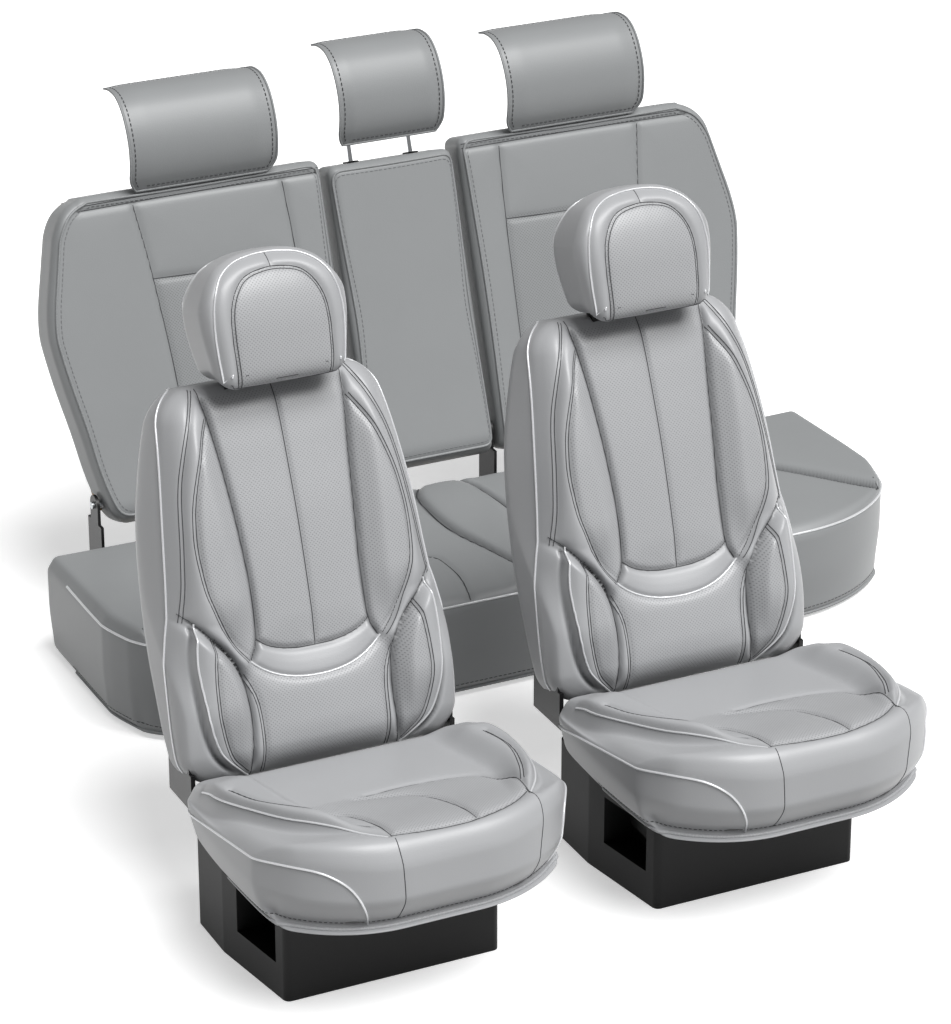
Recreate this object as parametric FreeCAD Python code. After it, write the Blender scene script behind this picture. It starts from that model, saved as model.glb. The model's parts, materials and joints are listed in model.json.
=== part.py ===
"""Seat cover set for a truck: two covered front bucket seats and one covered rear bench.

Millimetres, +Z up. The seats face -Y. The origin is on the floor, under the middle of the whole set.
Each seat is drawn in its own frame: x from its centre, y back from its cushion's front, z up from the floor.
Each back and headrest is drawn upright around its hinge line, then leaned back as one piece.
"""
import FreeCAD, Part
import math
import os

from FreeCAD import Placement, Rotation, Vector

# ---- Layout of the set ----
FRONT_SPACING = 690.0  # between the centres of the two front seats
BENCH_ASIDE = 730.0  # bench centre, right of the left front seat's centre
BENCH_BEHIND = 1080.0  # bench cushion front, behind the front cushions' front

# ---- Fits and common stock ----
COVER_WALL = 2.0  # leatherette with its backing cloth
SKIN_GAP = 0.4  # between a cover and what it is pulled over
BODY_GAP = 4.0  # between soft pieces that move past each other
PIN_PLAY = 0.05  # radial clearance of a pin in the part that turns on it
PIN_HEAD = 5.0
HOLE_EASE = 6.0  # round a pin where it passes through a cover or foam
STRAP_THICKNESS = 1.5
STRAP_WIDTH = 25.0

# ---- Front seat: plinth and runners ----
PLINTH_HEIGHT = 195.0
PLINTH_WALL = 4.0
PLINTH_FRONT = 225.0
PLINTH_BEND = 420.0
PLINTH_REAR = 535.0
PLINTH_FRONT_WIDTH = 390.0
PLINTH_REAR_WIDTH = 450.0
FLOOR_TAB = 50.0
FLOOR_TAB_THICKNESS = 6.0
FLOOR_HOLE_R = 5.5
FLOOR_HOLE_SPREAD_X = 300.0
FLOOR_HOLE_SPREAD_Y = 220.0
RAIL_SPREAD = 300.0
RAIL_LENGTH = 300.0
RAIL_WIDTH = 38.0
RAIL_HEIGHT = 18.0
RAIL_WALL = 3.0
RAIL_SLOT = 14.0
RUNNER_PLAY = 0.5
RUNNER_LENGTH = 260.0
RUNNER_RISE = 19.0  # from the rail's top to the seat pan
SLIDE_TRAVEL = 120.0
POCKET_LENGTH = 120.0
POCKET_HEIGHT = 90.0
POCKET_DEPTH = 34.0
POCKET_START = 30.0  # behind the plinth's front
POCKET_BASE = 62.0
LEVER_LENGTH = 84.0
LEVER_HEIGHT = 22.0
LEVER_THICKNESS = 12.0
LEVER_PIN_R = 4.0

# ---- Front seat: cushion ----
CUSHION_WIDTH = 556.0
CUSHION_REAR_WIDTH = 540.0
CUSHION_NOSE_WIDTH = 300.0
CUSHION_DEPTH = 470.0
CUSHION_NOSE_HEIGHT = 384.0
CUSHION_REAR_HEIGHT = 318.0
CUSHION_HEM = 212.0
CUSHION_CORNER = 110.0
PAN_THICKNESS = 3.0
PAN_WIDTH = 480.0
PAN_MARGIN = 22.0
BUCKLE_LENGTH = 46.0
BUCKLE_HEIGHT = 8.0

# ---- Front seat: back ----
RECLINE = 18.5  # lean of the back from upright, degrees
HINGE_Y = 548.0
HINGE_Z = 330.0
BACK_ROUND = 68.0  # radius of the back's lower end about the hinge line
BACK_HEIGHT = 596.0
BACK_FOOT_WIDTH = 512.0
BACK_WIDTH = 504.0
BACK_WIDEST_AT = 200.0
BACK_SHOULDER_WIDTH = 372.0
BOLSTER_FRONT = 96.0
BACK_REAR = 98.0  # the back panel's furthest reach behind the hinge plane
BACK_OPEN_BELOW = 30.0
ARM_SPREAD = 360.0  # between the middles of the two frame arms
ARM_THICKNESS = 8.0
ARM_DEPTH = 60.0
CROSSBAR_HEIGHT = 40.0
CROSSBAR_DEPTH = 20.0
BRACKET_SPREAD = 480.0
BRACKET_THICKNESS = 8.0
BRACKET_LENGTH = 100.0
BRACKET_ROUND = 42.0
HINGE_PIN_R = 8.0

# ---- Front seat: headrest ----
HEADREST_WIDTH = 262.0
HEADREST_FOOT_WIDTH = 226.0
HEADREST_HEIGHT = 208.0
HEADREST_DEPTH = 136.0
HEADREST_FORWARD = 128.0  # its front, ahead of the hinge plane
POST_R = 6.0
POST_SPREAD = 140.0
POST_BACK = -20.0  # the posts' place across the back's thickness
POST_DEPTH = 120.0  # how far the posts reach into the back
POST_RISE = 110.0  # and into the headrest
SLEEVE_SIDE = 20.0
SLEEVE_COLLAR = 3.0
HEADREST_LIFT = 60.0

# ---- Rear bench: frame and cushion ----
BENCH_WIDTH = 1660.0
BENCH_DEPTH = 520.0
BENCH_HEM = 8.0
BENCH_CROWN = 214.0
BENCH_EDGE_HEIGHT = 165.0
BENCH_CORNER = 220.0
BOARD_FRONT = 70.0
BOARD_REAR = 630.0
BOARD_THICKNESS = 12.0
BOARD_HOLE_SPREAD = 1200.0
BOARD_HOLE_INSET = 25.0  # ahead of the board's rear edge

# ---- Rear bench: backs ----
REAR_LEAN = 19.3
REAR_HINGE_Y = 572.0
REAR_HINGE_Z = 272.0
REAR_ROUND = 45.0
SIDE_BACK_HEIGHT = 590.0
MIDDLE_BACK_HEIGHT = 572.0
MIDDLE_BACK_WIDTH = 268.0
SIDE_BACK_INNER = 150.0
SIDE_BACK_OUTER = 755.0
SIDE_BACK_FOOT = 690.0
SIDE_BACK_SHOULDER = 692.0
REAR_OPEN_BELOW = 25.0
REAR_ARM_THICKNESS = 6.0
REAR_ARM_INSET = 10.0
REAR_ARM_HEIGHT = 80.0
REAR_PIN_R = 7.0
REAR_BRACKET_THICKNESS = 6.0
REAR_BRACKET_LENGTH = 70.0
REAR_BOARD_FRONT = 20.0

# ---- Rear bench: headrests ----
SIDE_HEADREST_AT = 402.0
SIDE_HEADREST_WIDTH = 308.0
MIDDLE_HEADREST_WIDTH = 228.0
HEADREST_SHELL_HEIGHT = 210.0
HEADREST_SHELL_DROP = 7.0  # how far a side headrest's front edge hangs below the back's top
MIDDLE_HEADREST_RAISE = 36.0  # how far the middle one stands above its back
HEADREST_SHELL_BULGE = 50.0
HEADREST_SHELL_WALL = 3.0
HOOP_R = 5.0
HOOP_SPREAD = 130.0
HOOP_BACK = 8.0
HOOP_RISE = 150.0
HOOP_DEPTH = 120.0
HOOP_SLEEVE = 24.0
REAR_HEADREST_LIFT = 50.0


# ---- Shapes ----
def outline(points):
    """A closed wire through corners (a, b, radius), with a tangent arc of that radius at each."""
    edges = []
    ends = []
    count = len(points)
    for i, (a, b, radius) in enumerate(points):
        here = Vector(a, b, 0)
        back = Vector(points[i - 1][0], points[i - 1][1], 0).sub(here).normalize()
        on = Vector(points[(i + 1) % count][0], points[(i + 1) % count][1], 0).sub(here).normalize()
        half = back.getAngle(on) / 2
        reach = radius / math.tan(half)
        middle = (back + on).normalize() * (radius / math.sin(half) - radius)
        ends.append((here + back * reach, here + middle, here + on * reach))
    for i in range(count):
        start, middle, end = ends[i]
        edges.append(Part.Arc(start, middle, end).toShape())
        following = ends[(i + 1) % count][0]
        if end.distanceToPoint(following) > 1e-6:
            edges.append(Part.LineSegment(end, following).toShape())
    return Part.Wire(edges)


TURNS = {
    "xy": Rotation(),
    "xz": Rotation(Vector(1, 0, 0), 90),
    "yz": Rotation(Vector(1, 1, 1), 120),
}


def slab(points, plane, low, high, inset=0.0):
    """The outline's face, drawn in from its edge by inset and extruded from low to high across its plane."""
    wire = outline(points)
    if inset:
        wire = wire.makeOffset2D(-inset)
    face = Part.Face(wire)
    if plane == "xz":
        low, high = -high, -low
    solid = face.extrude(Vector(0, 0, high - low))
    solid.translate(Vector(0, 0, low))
    return solid.transformed(Placement(Vector(), TURNS[plane]).toMatrix())


def block(x, y, z):
    """A box from three (low, high) pairs."""
    return Part.makeBox(x[1] - x[0], y[1] - y[0], z[1] - z[0], Vector(x[0], y[0], z[0]))


def rod(radius, start, end):
    along = Vector(*end).sub(Vector(*start))
    return Part.makeCylinder(radius, along.Length, Vector(*start), along)


def fuse(*shapes):
    whole = shapes[0]
    for shape in shapes[1:]:
        whole = whole.fuse(shape)
    return whole.removeSplitter()


def mirrored(shape):
    return shape.mirror(Vector(), Vector(1, 0, 0))


def both_sides(shape):
    """The shape and its mirror image, as two separate solids."""
    return Part.Compound([shape, mirrored(shape)])


def pad(profile, plan, plane, wide, tall, inset=0.0):
    """Where a side profile, drawn across the width, meets an outline, both drawn in by inset."""
    return slab(profile, "yz", -wide, wide, inset).common(slab(plan, plane, tall[0], tall[1], inset))


def leaned(shape, degrees, hinge_y, hinge_z):
    """An upright shape drawn around its hinge line, put in place and leaned back."""
    shape = shape.copy()
    shape.rotate(Vector(), Vector(1, 0, 0), -degrees)
    shape.translate(Vector(0, hinge_y, hinge_z))
    return shape


# ---- Front seat ----
RAIL_TOP = PLINTH_HEIGHT + RAIL_HEIGHT
PAN_BASE = RAIL_TOP + RUNNER_RISE
PAN_TOP = PAN_BASE + PAN_THICKNESS


def plinth():
    """The moulded base: an open-bottomed shell with a hand pocket on its left and tabs for four floor bolts."""
    front, rear = PLINTH_FRONT_WIDTH / 2, PLINTH_REAR_WIDTH / 2
    plan = [
        (-front, PLINTH_FRONT, 12),
        (front, PLINTH_FRONT, 12),
        (rear, PLINTH_BEND, 30),
        (rear, PLINTH_REAR, 12),
        (-rear, PLINTH_REAR, 12),
        (-rear, PLINTH_BEND, 30),
    ]
    shell = slab(plan, "xy", 0, PLINTH_HEIGHT)
    hollow = slab(plan, "xy", -1, PLINTH_HEIGHT - PLINTH_WALL, PLINTH_WALL)
    pocket_x = (-rear - 1, pocket_floor())
    pocket_y = (PLINTH_FRONT + POCKET_START, PLINTH_FRONT + POCKET_START + POCKET_LENGTH)
    pocket_z = (POCKET_BASE, POCKET_BASE + POCKET_HEIGHT)
    liner = block(
        (pocket_x[0], pocket_x[1] + PLINTH_WALL),
        (pocket_y[0] - PLINTH_WALL, pocket_y[1] + PLINTH_WALL),
        (pocket_z[0] - PLINTH_WALL, pocket_z[1] + PLINTH_WALL),
    )
    body = shell.cut(hollow.cut(liner)).cut(block(pocket_x, pocket_y, pocket_z))
    _, lever_y, lever_z = lever_pivot()
    body = body.cut(rod(LEVER_PIN_R + PIN_PLAY, (pocket_x[1] - 1, lever_y, lever_z), (0, lever_y, lever_z)))
    for side in (-1, 1):
        for end in (-1, 1):
            x, y = side * FLOOR_HOLE_SPREAD_X / 2, floor_holes_y() + end * FLOOR_HOLE_SPREAD_Y / 2
            reach = side * PLINTH_REAR_WIDTH / 2
            tab = block(
                sorted((x - side * FLOOR_TAB / 2, reach)),
                (y - FLOOR_TAB / 2, y + FLOOR_TAB / 2),
                (0, FLOOR_TAB_THICKNESS),
            )
            body = body.fuse(tab.common(shell)).cut(rod(FLOOR_HOLE_R, (x, y, -1), (x, y, FLOOR_TAB_THICKNESS + 1)))
    return body.removeSplitter()


def pocket_floor():
    return -PLINTH_FRONT_WIDTH / 2 + POCKET_DEPTH


def floor_holes_y():
    return (PLINTH_FRONT + PLINTH_REAR) / 2


def lever_pivot():
    return (
        pocket_floor(),
        PLINTH_FRONT + POCKET_START + POCKET_LENGTH - LEVER_HEIGHT,
        POCKET_BASE + POCKET_HEIGHT / 2,
    )


def slide_lever():
    """The paddle in the plinth's pocket, with the pin that it turns on."""
    x, y, z = lever_pivot()
    grip = [
        (y - LEVER_LENGTH, z - LEVER_HEIGHT / 2, 6),
        (y + LEVER_HEIGHT / 2, z - LEVER_HEIGHT / 2, 10),
        (y + LEVER_HEIGHT / 2, z + LEVER_HEIGHT / 2, 10),
        (y - LEVER_LENGTH, z + LEVER_HEIGHT / 2, 6),
    ]
    paddle = slab(grip, "yz", x - RUNNER_PLAY - LEVER_THICKNESS, x - RUNNER_PLAY)
    return fuse(paddle, rod(LEVER_PIN_R, (x - RUNNER_PLAY, y, z), (x + PLINTH_WALL + PIN_HEAD, y, z)))


def rail(x):
    """One lower rail: a channel with its lips turned in over the runner."""
    half = RAIL_WIDTH / 2
    y = (PLINTH_FRONT, PLINTH_FRONT + RAIL_LENGTH)
    outer = block((x - half, x + half), y, (PLINTH_HEIGHT, RAIL_TOP))
    inner = block(
        (x - half + RAIL_WALL, x + half - RAIL_WALL), y, (PLINTH_HEIGHT + RAIL_WALL, RAIL_TOP - RAIL_WALL)
    )
    slot = block((x - RAIL_SLOT / 2, x + RAIL_SLOT / 2), y, (PLINTH_HEIGHT + RAIL_WALL, RAIL_TOP))
    return outer.cut(inner).cut(slot)


def runner(x):
    """One upper runner: a foot held inside the rail and a web up to the seat pan."""
    foot = RAIL_WIDTH / 2 - RAIL_WALL - RUNNER_PLAY
    web = RAIL_SLOT / 2 - RUNNER_PLAY
    y = (PLINTH_FRONT + 10, PLINTH_FRONT + 10 + RUNNER_LENGTH)
    base = PLINTH_HEIGHT + RAIL_WALL + RUNNER_PLAY
    return fuse(
        block((x - foot, x + foot), y, (base, RAIL_TOP - RAIL_WALL - RUNNER_PLAY)),
        block((x - web, x + web), y, (base, PAN_BASE)),
    )


def seat_pan():
    """The pressed pan under the cushion, with two ears that run back under the recliner brackets."""
    inset = COVER_WALL + PAN_MARGIN
    half = PAN_WIDTH / 2
    plate = slab(
        [
            (-half, CUSHION_DEPTH - inset, 20),
            (-half, CUSHION_CORNER + inset, 60),
            (-CUSHION_NOSE_WIDTH / 2, inset + PAN_MARGIN, 40),
            (CUSHION_NOSE_WIDTH / 2, inset + PAN_MARGIN, 40),
            (half, CUSHION_CORNER + inset, 60),
            (half, CUSHION_DEPTH - inset, 20),
        ],
        "xy",
        PAN_BASE,
        PAN_TOP,
    )
    middle = BRACKET_SPREAD / 2
    ears = [
        block(
            sorted((side * (middle - 4 * BRACKET_THICKNESS), side * (middle + BRACKET_THICKNESS / 2))),
            (CUSHION_DEPTH - 4 * inset, HINGE_Y + BRACKET_LENGTH / 2),
            (PAN_BASE, PAN_TOP),
        )
        for side in (-1, 1)
    ]
    return fuse(plate, *ears)


def cushion_form(inset):
    profile = [
        (14, CUSHION_HEM, 3),
        (0, CUSHION_HEM + 110, 100),
        (26, CUSHION_NOSE_HEIGHT, 46),
        (250, CUSHION_NOSE_HEIGHT - 14, 300),
        (CUSHION_DEPTH, CUSHION_REAR_HEIGHT, 20),
        (CUSHION_DEPTH, CUSHION_HEM, 3),
    ]
    rear, half, nose = CUSHION_REAR_WIDTH / 2, CUSHION_WIDTH / 2, CUSHION_NOSE_WIDTH / 2
    plan = [
        (-rear, CUSHION_DEPTH, 20),
        (-half, 165, CUSHION_CORNER),
        (-nose, 0, CUSHION_CORNER),
        (nose, 0, CUSHION_CORNER),
        (half, 165, CUSHION_CORNER),
        (rear, CUSHION_DEPTH, 20),
    ]
    return pad(profile, plan, "xy", CUSHION_WIDTH, (0, 2 * CUSHION_NOSE_HEIGHT), inset)


def cushion_cover():
    """The fitted cover: closed over the top and sides, open below, and cut away behind for the pan's ears."""
    shell = cushion_form(0).cut(cushion_form(COVER_WALL))
    wide = (-CUSHION_WIDTH, CUSHION_WIDTH)
    below = block(wide, (-10, CUSHION_DEPTH + 10), (CUSHION_HEM - 10, CUSHION_HEM + COVER_WALL + 1))
    behind = block(
        (-BRACKET_SPREAD / 2 - 12, BRACKET_SPREAD / 2 + 12),
        (CUSHION_DEPTH - 25, CUSHION_DEPTH + 10),
        (CUSHION_HEM - 10, PAN_TOP + BODY_GAP),
    )
    return shell.cut(below).cut(behind)


def cushion_foam():
    form = cushion_form(COVER_WALL + SKIN_GAP)
    return form.common(block((-400, 400), (-10, CUSHION_DEPTH), (PAN_TOP, 2 * CUSHION_NOSE_HEIGHT)))


def strap_place():
    """The under-seat strap's y and z: ahead of the runners and just below the pan."""
    y = PLINTH_FRONT - 45
    z = PAN_BASE - BUCKLE_HEIGHT / 2 - 1
    return (y - STRAP_WIDTH / 2, y + STRAP_WIDTH / 2), (z - STRAP_THICKNESS / 2, z + STRAP_THICKNESS / 2)


def cushion_straps():
    """The two elastic straps that hold the skirt in from under the seat, up to their buckle."""
    y, z = strap_place()
    return both_sides(block((BUCKLE_LENGTH / 2, PAN_WIDTH / 2 + PAN_MARGIN), y, z))


def strap_buckle():
    y, z = strap_place()
    half = BUCKLE_LENGTH / 2
    rise = (BUCKLE_HEIGHT - STRAP_THICKNESS) / 2
    return block((-half, half), (y[0] - 4, y[1] + 4), (z[0] - rise, z[1] + rise))


def recliner_brackets():
    """The two upright plates on the pan's ears that carry the back's hinge pins."""
    x = (BRACKET_SPREAD / 2 - BRACKET_THICKNESS / 2, BRACKET_SPREAD / 2 + BRACKET_THICKNESS / 2)
    foot = block(x, (HINGE_Y - BRACKET_LENGTH / 2, HINGE_Y + BRACKET_LENGTH / 2), (PAN_TOP, HINGE_Z - 30))
    web = block(x, (HINGE_Y - BRACKET_ROUND, HINGE_Y + BRACKET_ROUND), (PAN_TOP, HINGE_Z))
    eye = rod(BRACKET_ROUND, (x[0], HINGE_Y, HINGE_Z), (x[1], HINGE_Y, HINGE_Z))
    bore = rod(HINGE_PIN_R, (x[0] - 1, HINGE_Y, HINGE_Z), (x[1] + 1, HINGE_Y, HINGE_Z))
    return both_sides(fuse(foot, web, eye).cut(bore))


def hinge_pins():
    """The two headed pins that the back reclines on."""
    inner = ARM_SPREAD / 2 - ARM_THICKNESS
    outer = BRACKET_SPREAD / 2 + BRACKET_THICKNESS / 2
    shaft = rod(HINGE_PIN_R, (inner, HINGE_Y, HINGE_Z), (outer, HINGE_Y, HINGE_Z))
    head = rod(HINGE_PIN_R + PIN_HEAD, (outer, HINGE_Y, HINGE_Z), (outer + PIN_HEAD, HINGE_Y, HINGE_Z))
    return both_sides(fuse(shaft, head))


def back_form(inset):
    profile = [
        (-BACK_ROUND, -BACK_ROUND, BACK_ROUND - 2),
        (BACK_ROUND, -BACK_ROUND, BACK_ROUND - 2),
        (BACK_ROUND, 50, 80),
        (BACK_REAR, 200, 150),
        (BACK_REAR - 10, 420, 200),
        (BACK_ROUND - 6, BACK_HEIGHT, 40),
        (-BACK_ROUND, BACK_HEIGHT, 36),
        (-BOLSTER_FRONT, 430, 150),
        (-BOLSTER_FRONT, 150, 60),
        (-BACK_ROUND, 50, 60),
    ]
    foot, wide, shoulder = BACK_FOOT_WIDTH / 2, BACK_WIDTH / 2, BACK_SHOULDER_WIDTH / 2
    plan = [
        (-foot, -BACK_ROUND, 10),
        (foot, -BACK_ROUND, 10),
        (foot - 1, 60, 150),
        (wide, BACK_WIDEST_AT, 160),
        (wide - 12, 360, 300),
        (shoulder, BACK_HEIGHT, 36),
        (-shoulder, BACK_HEIGHT, 36),
        (-wide + 12, 360, 300),
        (-wide, BACK_WIDEST_AT, 160),
        (-foot + 1, 60, 150),
    ]
    return pad(profile, plan, "xz", BACK_WIDTH, (-2 * BOLSTER_FRONT, 2 * BOLSTER_FRONT), inset)


def back_cover():
    """The back's cover: closed all round, open below, with a flap outside each recliner bracket."""
    shell = back_form(0).cut(back_form(COVER_WALL))
    shell = shell.cut(block((-400, 400), (-200, 200), (-2 * BACK_ROUND, -BACK_OPEN_BELOW)))
    for slot in bracket_slots():
        shell = shell.cut(slot)
    for x in sleeve_places():
        side = SLEEVE_SIDE / 2 + SKIN_GAP
        y = (POST_BACK - side, POST_BACK + side)
        shell = shell.cut(block((x - side, x + side), y, (BACK_HEIGHT - 20, BACK_HEIGHT + 1)))
    return shell


def bracket_slots():
    """The room that the brackets and pin heads need as the back leans: two slots open below."""
    x = (BRACKET_SPREAD / 2 - 2 * BRACKET_THICKNESS, BACK_FOOT_WIDTH / 2 - COVER_WALL)
    slot = block(x, (-200, 200), (-2 * BACK_ROUND, BRACKET_ROUND + 2 * BODY_GAP))
    return slot, mirrored(slot)


def back_foam():
    """The pad moulded round the frame, with room for the brackets, pins, sleeves and headrest posts."""
    foam = back_form(COVER_WALL + SKIN_GAP)
    foam = foam.common(block((-400, 400), (-200, 200), (-BACK_OPEN_BELOW, BACK_HEIGHT)))
    x = ARM_SPREAD / 2
    arm_x = (x - ARM_THICKNESS / 2 - SKIN_GAP, x + ARM_THICKNESS / 2 + SKIN_GAP)
    arm_y = (-ARM_DEPTH / 2 - SKIN_GAP, ARM_DEPTH / 2 + SKIN_GAP)
    arm = block(arm_x, arm_y, (-BACK_ROUND, BACK_HEIGHT - CROSSBAR_HEIGHT + SKIN_GAP))
    room = [arm, mirrored(arm), *bracket_slots(), rod(HINGE_PIN_R + HOLE_EASE, (-400, 0, 0), (400, 0, 0))]
    bar_y = (-CROSSBAR_DEPTH / 2 - SKIN_GAP, CROSSBAR_DEPTH / 2 + SKIN_GAP)
    for z in crossbar_places():
        room.append(block((-x, x), bar_y, (z - SKIN_GAP, z + CROSSBAR_HEIGHT + SKIN_GAP)))
    for post in sleeve_places():
        side = SLEEVE_SIDE / 2 + SKIN_GAP
        y = (POST_BACK - side, POST_BACK + side)
        room.append(block((post - side, post + side), y, (BACK_HEIGHT - 2 * CROSSBAR_HEIGHT - SKIN_GAP, BACK_HEIGHT)))
        low = BACK_HEIGHT - POST_DEPTH - 2
        room.append(rod(POST_R + 2, (post, POST_BACK, low), (post, POST_BACK, BACK_HEIGHT)))
    for piece in room:
        foam = foam.cut(piece)
    return foam


def crossbar_places():
    """The heights of the two crossbars' lower faces."""
    return ARM_DEPTH / 2, BACK_HEIGHT - 2 * CROSSBAR_HEIGHT


def back_frame():
    """Two arms joined by a low and a high crossbar, bored for the hinge pins."""
    x = (ARM_SPREAD / 2 - ARM_THICKNESS / 2, ARM_SPREAD / 2 + ARM_THICKNESS / 2)
    arm = block(x, (-ARM_DEPTH / 2, ARM_DEPTH / 2), (0, BACK_HEIGHT - CROSSBAR_HEIGHT))
    eye = rod(ARM_DEPTH / 2, (x[0], 0, 0), (x[1], 0, 0))
    bore = rod(HINGE_PIN_R + PIN_PLAY, (x[0] - 1, 0, 0), (x[1] + 1, 0, 0))
    arm = fuse(arm, eye).cut(bore)
    bars = [
        block((-x[0], x[0]), (-CROSSBAR_DEPTH / 2, CROSSBAR_DEPTH / 2), (z, z + CROSSBAR_HEIGHT))
        for z in crossbar_places()
    ]
    return fuse(arm, mirrored(arm), *bars)


def sleeve_places():
    return (-POST_SPREAD / 2, POST_SPREAD / 2)


def headrest_sleeves():
    """The two guides for the headrest posts, on the high crossbar, with collars over the cover."""
    sleeves = []
    for x in sleeve_places():
        side = SLEEVE_SIDE / 2
        y = (POST_BACK - side, POST_BACK + side)
        body = block((x - side, x + side), y, (BACK_HEIGHT - 2 * CROSSBAR_HEIGHT, BACK_HEIGHT))
        collar = rod(side + 4, (x, POST_BACK, BACK_HEIGHT), (x, POST_BACK, BACK_HEIGHT + SLEEVE_COLLAR))
        bore = rod(POST_R + PIN_PLAY, (x, POST_BACK, 0), (x, POST_BACK, 2 * BACK_HEIGHT))
        sleeves.append(fuse(body, collar).cut(bore))
    return Part.Compound(sleeves)


def headrest_base():
    return BACK_HEIGHT + SLEEVE_COLLAR + 1


def post_bar(grow=0.0):
    """Both posts and the bar that joins them inside the headrest."""
    radius = POST_R + grow
    low, high = BACK_HEIGHT - POST_DEPTH, headrest_base() + POST_RISE
    left, right = sleeve_places()
    return fuse(
        rod(radius, (left, POST_BACK, low), (left, POST_BACK, high)),
        rod(radius, (right, POST_BACK, low), (right, POST_BACK, high)),
        rod(radius, (left, POST_BACK, high), (right, POST_BACK, high)),
        Part.makeSphere(radius, Vector(left, POST_BACK, high)),
        Part.makeSphere(radius, Vector(right, POST_BACK, high)),
    )


def headrest_form(inset):
    low, high = headrest_base(), headrest_base() + HEADREST_HEIGHT
    middle = (low + high) / 2
    front, rear = -HEADREST_FORWARD, HEADREST_DEPTH - HEADREST_FORWARD
    profile = [
        (front + 4, low, 10),
        (rear - 4, low, 10),
        (rear, middle, 60),
        (rear - 24, high, 34),
        (front + 22, high, 34),
        (front, middle, 80),
    ]
    foot, wide = HEADREST_FOOT_WIDTH / 2, HEADREST_WIDTH / 2
    plan = [
        (-foot, low, 14),
        (foot, low, 14),
        (wide, middle, 60),
        (wide - 14, high, 80),
        (-wide + 14, high, 80),
        (-wide, middle, 60),
    ]
    return pad(profile, plan, "xz", HEADREST_WIDTH, (-2 * HEADREST_DEPTH, HEADREST_DEPTH), inset)


def headrest_cover():
    shell = headrest_form(0).cut(headrest_form(COVER_WALL))
    for x in sleeve_places():
        shell = shell.cut(rod(POST_R + 2, (x, POST_BACK, BACK_HEIGHT), (x, POST_BACK, headrest_base() + 20)))
    return shell


def headrest_foam():
    return headrest_form(COVER_WALL + SKIN_GAP).cut(post_bar(SKIN_GAP))


def front_seat(side):
    """Every piece of one front seat, as {node: shape} in the seat's own frame."""
    rails = Part.Compound([rail(-RAIL_SPREAD / 2), rail(RAIL_SPREAD / 2)])
    runners = Part.Compound([runner(-RAIL_SPREAD / 2), runner(RAIL_SPREAD / 2)])
    fixed = {
        "plinth": plinth(),
        "slide_rails": rails,
        "slide_lever": slide_lever(),
        "rail_runners": runners,
        "seat_pan": seat_pan(),
        "cushion_foam": cushion_foam(),
        "cushion_cover": cushion_cover(),
        "cushion_straps": cushion_straps(),
        "strap_buckle": strap_buckle(),
        "recliner_brackets": recliner_brackets(),
        "hinge_pins": hinge_pins(),
    }
    leaning = {
        "back_frame": back_frame(),
        "back_foam": back_foam(),
        "back_cover": back_cover(),
        "headrest_sleeves": headrest_sleeves(),
        "headrest_posts": post_bar(),
        "headrest_foam": headrest_foam(),
        "headrest_cover": headrest_cover(),
    }
    fixed.update({name: leaned(shape, RECLINE, HINGE_Y, HINGE_Z) for name, shape in leaning.items()})
    return {f"{name}_{side}": shape for name, shape in fixed.items()}


# ---- Rear bench ----
def board_holes_y():
    return BOARD_REAR - BOARD_HOLE_INSET


def bench_board():
    """The plywood base board, long enough behind to carry the hinge brackets and two floor bolts."""
    half = REAR_OUTER_BRACKET + REAR_BRACKET_THICKNESS
    corners = [(-half, BOARD_FRONT, 90), (half, BOARD_FRONT, 90), (half, BOARD_REAR, 5), (-half, BOARD_REAR, 5)]
    board = slab(corners, "xy", 0, BOARD_THICKNESS)
    for side in (-1, 1):
        x, y = side * BOARD_HOLE_SPREAD / 2, board_holes_y()
        board = board.cut(rod(FLOOR_HOLE_R, (x, y, -1), (x, y, BOARD_THICKNESS + 1)))
    under_cover = block((-BENCH_WIDTH, BENCH_WIDTH), (0, BENCH_DEPTH), (-1, BOARD_THICKNESS + 1))
    within_cover = slab(bench_plan(), "xy", -1, BOARD_THICKNESS + 1, COVER_WALL + SKIN_GAP)
    return board.cut(under_cover.cut(within_cover.fuse(bench_opening())))


def bench_opening():
    """The open back of the bench cover, where the board runs through."""
    half = BENCH_WIDTH / 2 - COVER_WALL - SKIN_GAP
    return block((-half, half), (BENCH_DEPTH / 2, BENCH_DEPTH), (-1, BOARD_THICKNESS + 1))


def bench_plan():
    """The outline of the bench cushion from above."""
    half = BENCH_WIDTH / 2
    return [
        (-half, BENCH_DEPTH, 40),
        (-half, 0, BENCH_CORNER),
        (half, 0, BENCH_CORNER),
        (half, BENCH_DEPTH, 40),
    ]


def bench_form(inset):
    profile = [
        (12, BENCH_HEM, 3),
        (0, BENCH_EDGE_HEIGHT, 30),
        (40, BENCH_CROWN - 6, 60),
        (300, BENCH_CROWN, 200),
        (BENCH_DEPTH, BENCH_CROWN - 8, 15),
        (BENCH_DEPTH, BENCH_HEM, 3),
    ]
    return pad(profile, bench_plan(), "xy", BENCH_WIDTH, (0, 2 * BENCH_CROWN), inset)


def bench_cover():
    """The bench cushion's cover, with a full skirt in front and at the ends, open below and behind."""
    shell = bench_form(0).cut(bench_form(COVER_WALL))
    wide = (-BENCH_WIDTH, BENCH_WIDTH)
    shell = shell.cut(block(wide, (-10, BENCH_DEPTH + 10), (-10, BENCH_HEM + COVER_WALL + 1)))
    return shell.cut(block(wide, (BENCH_DEPTH - COVER_WALL, BENCH_DEPTH + 10), (-10, 2 * BENCH_CROWN)))


def bench_foam():
    form = bench_form(COVER_WALL + SKIN_GAP)
    return form.common(block((-BENCH_WIDTH, BENCH_WIDTH), (-10, BENCH_DEPTH), (BOARD_THICKNESS, 2 * BENCH_CROWN)))


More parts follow.
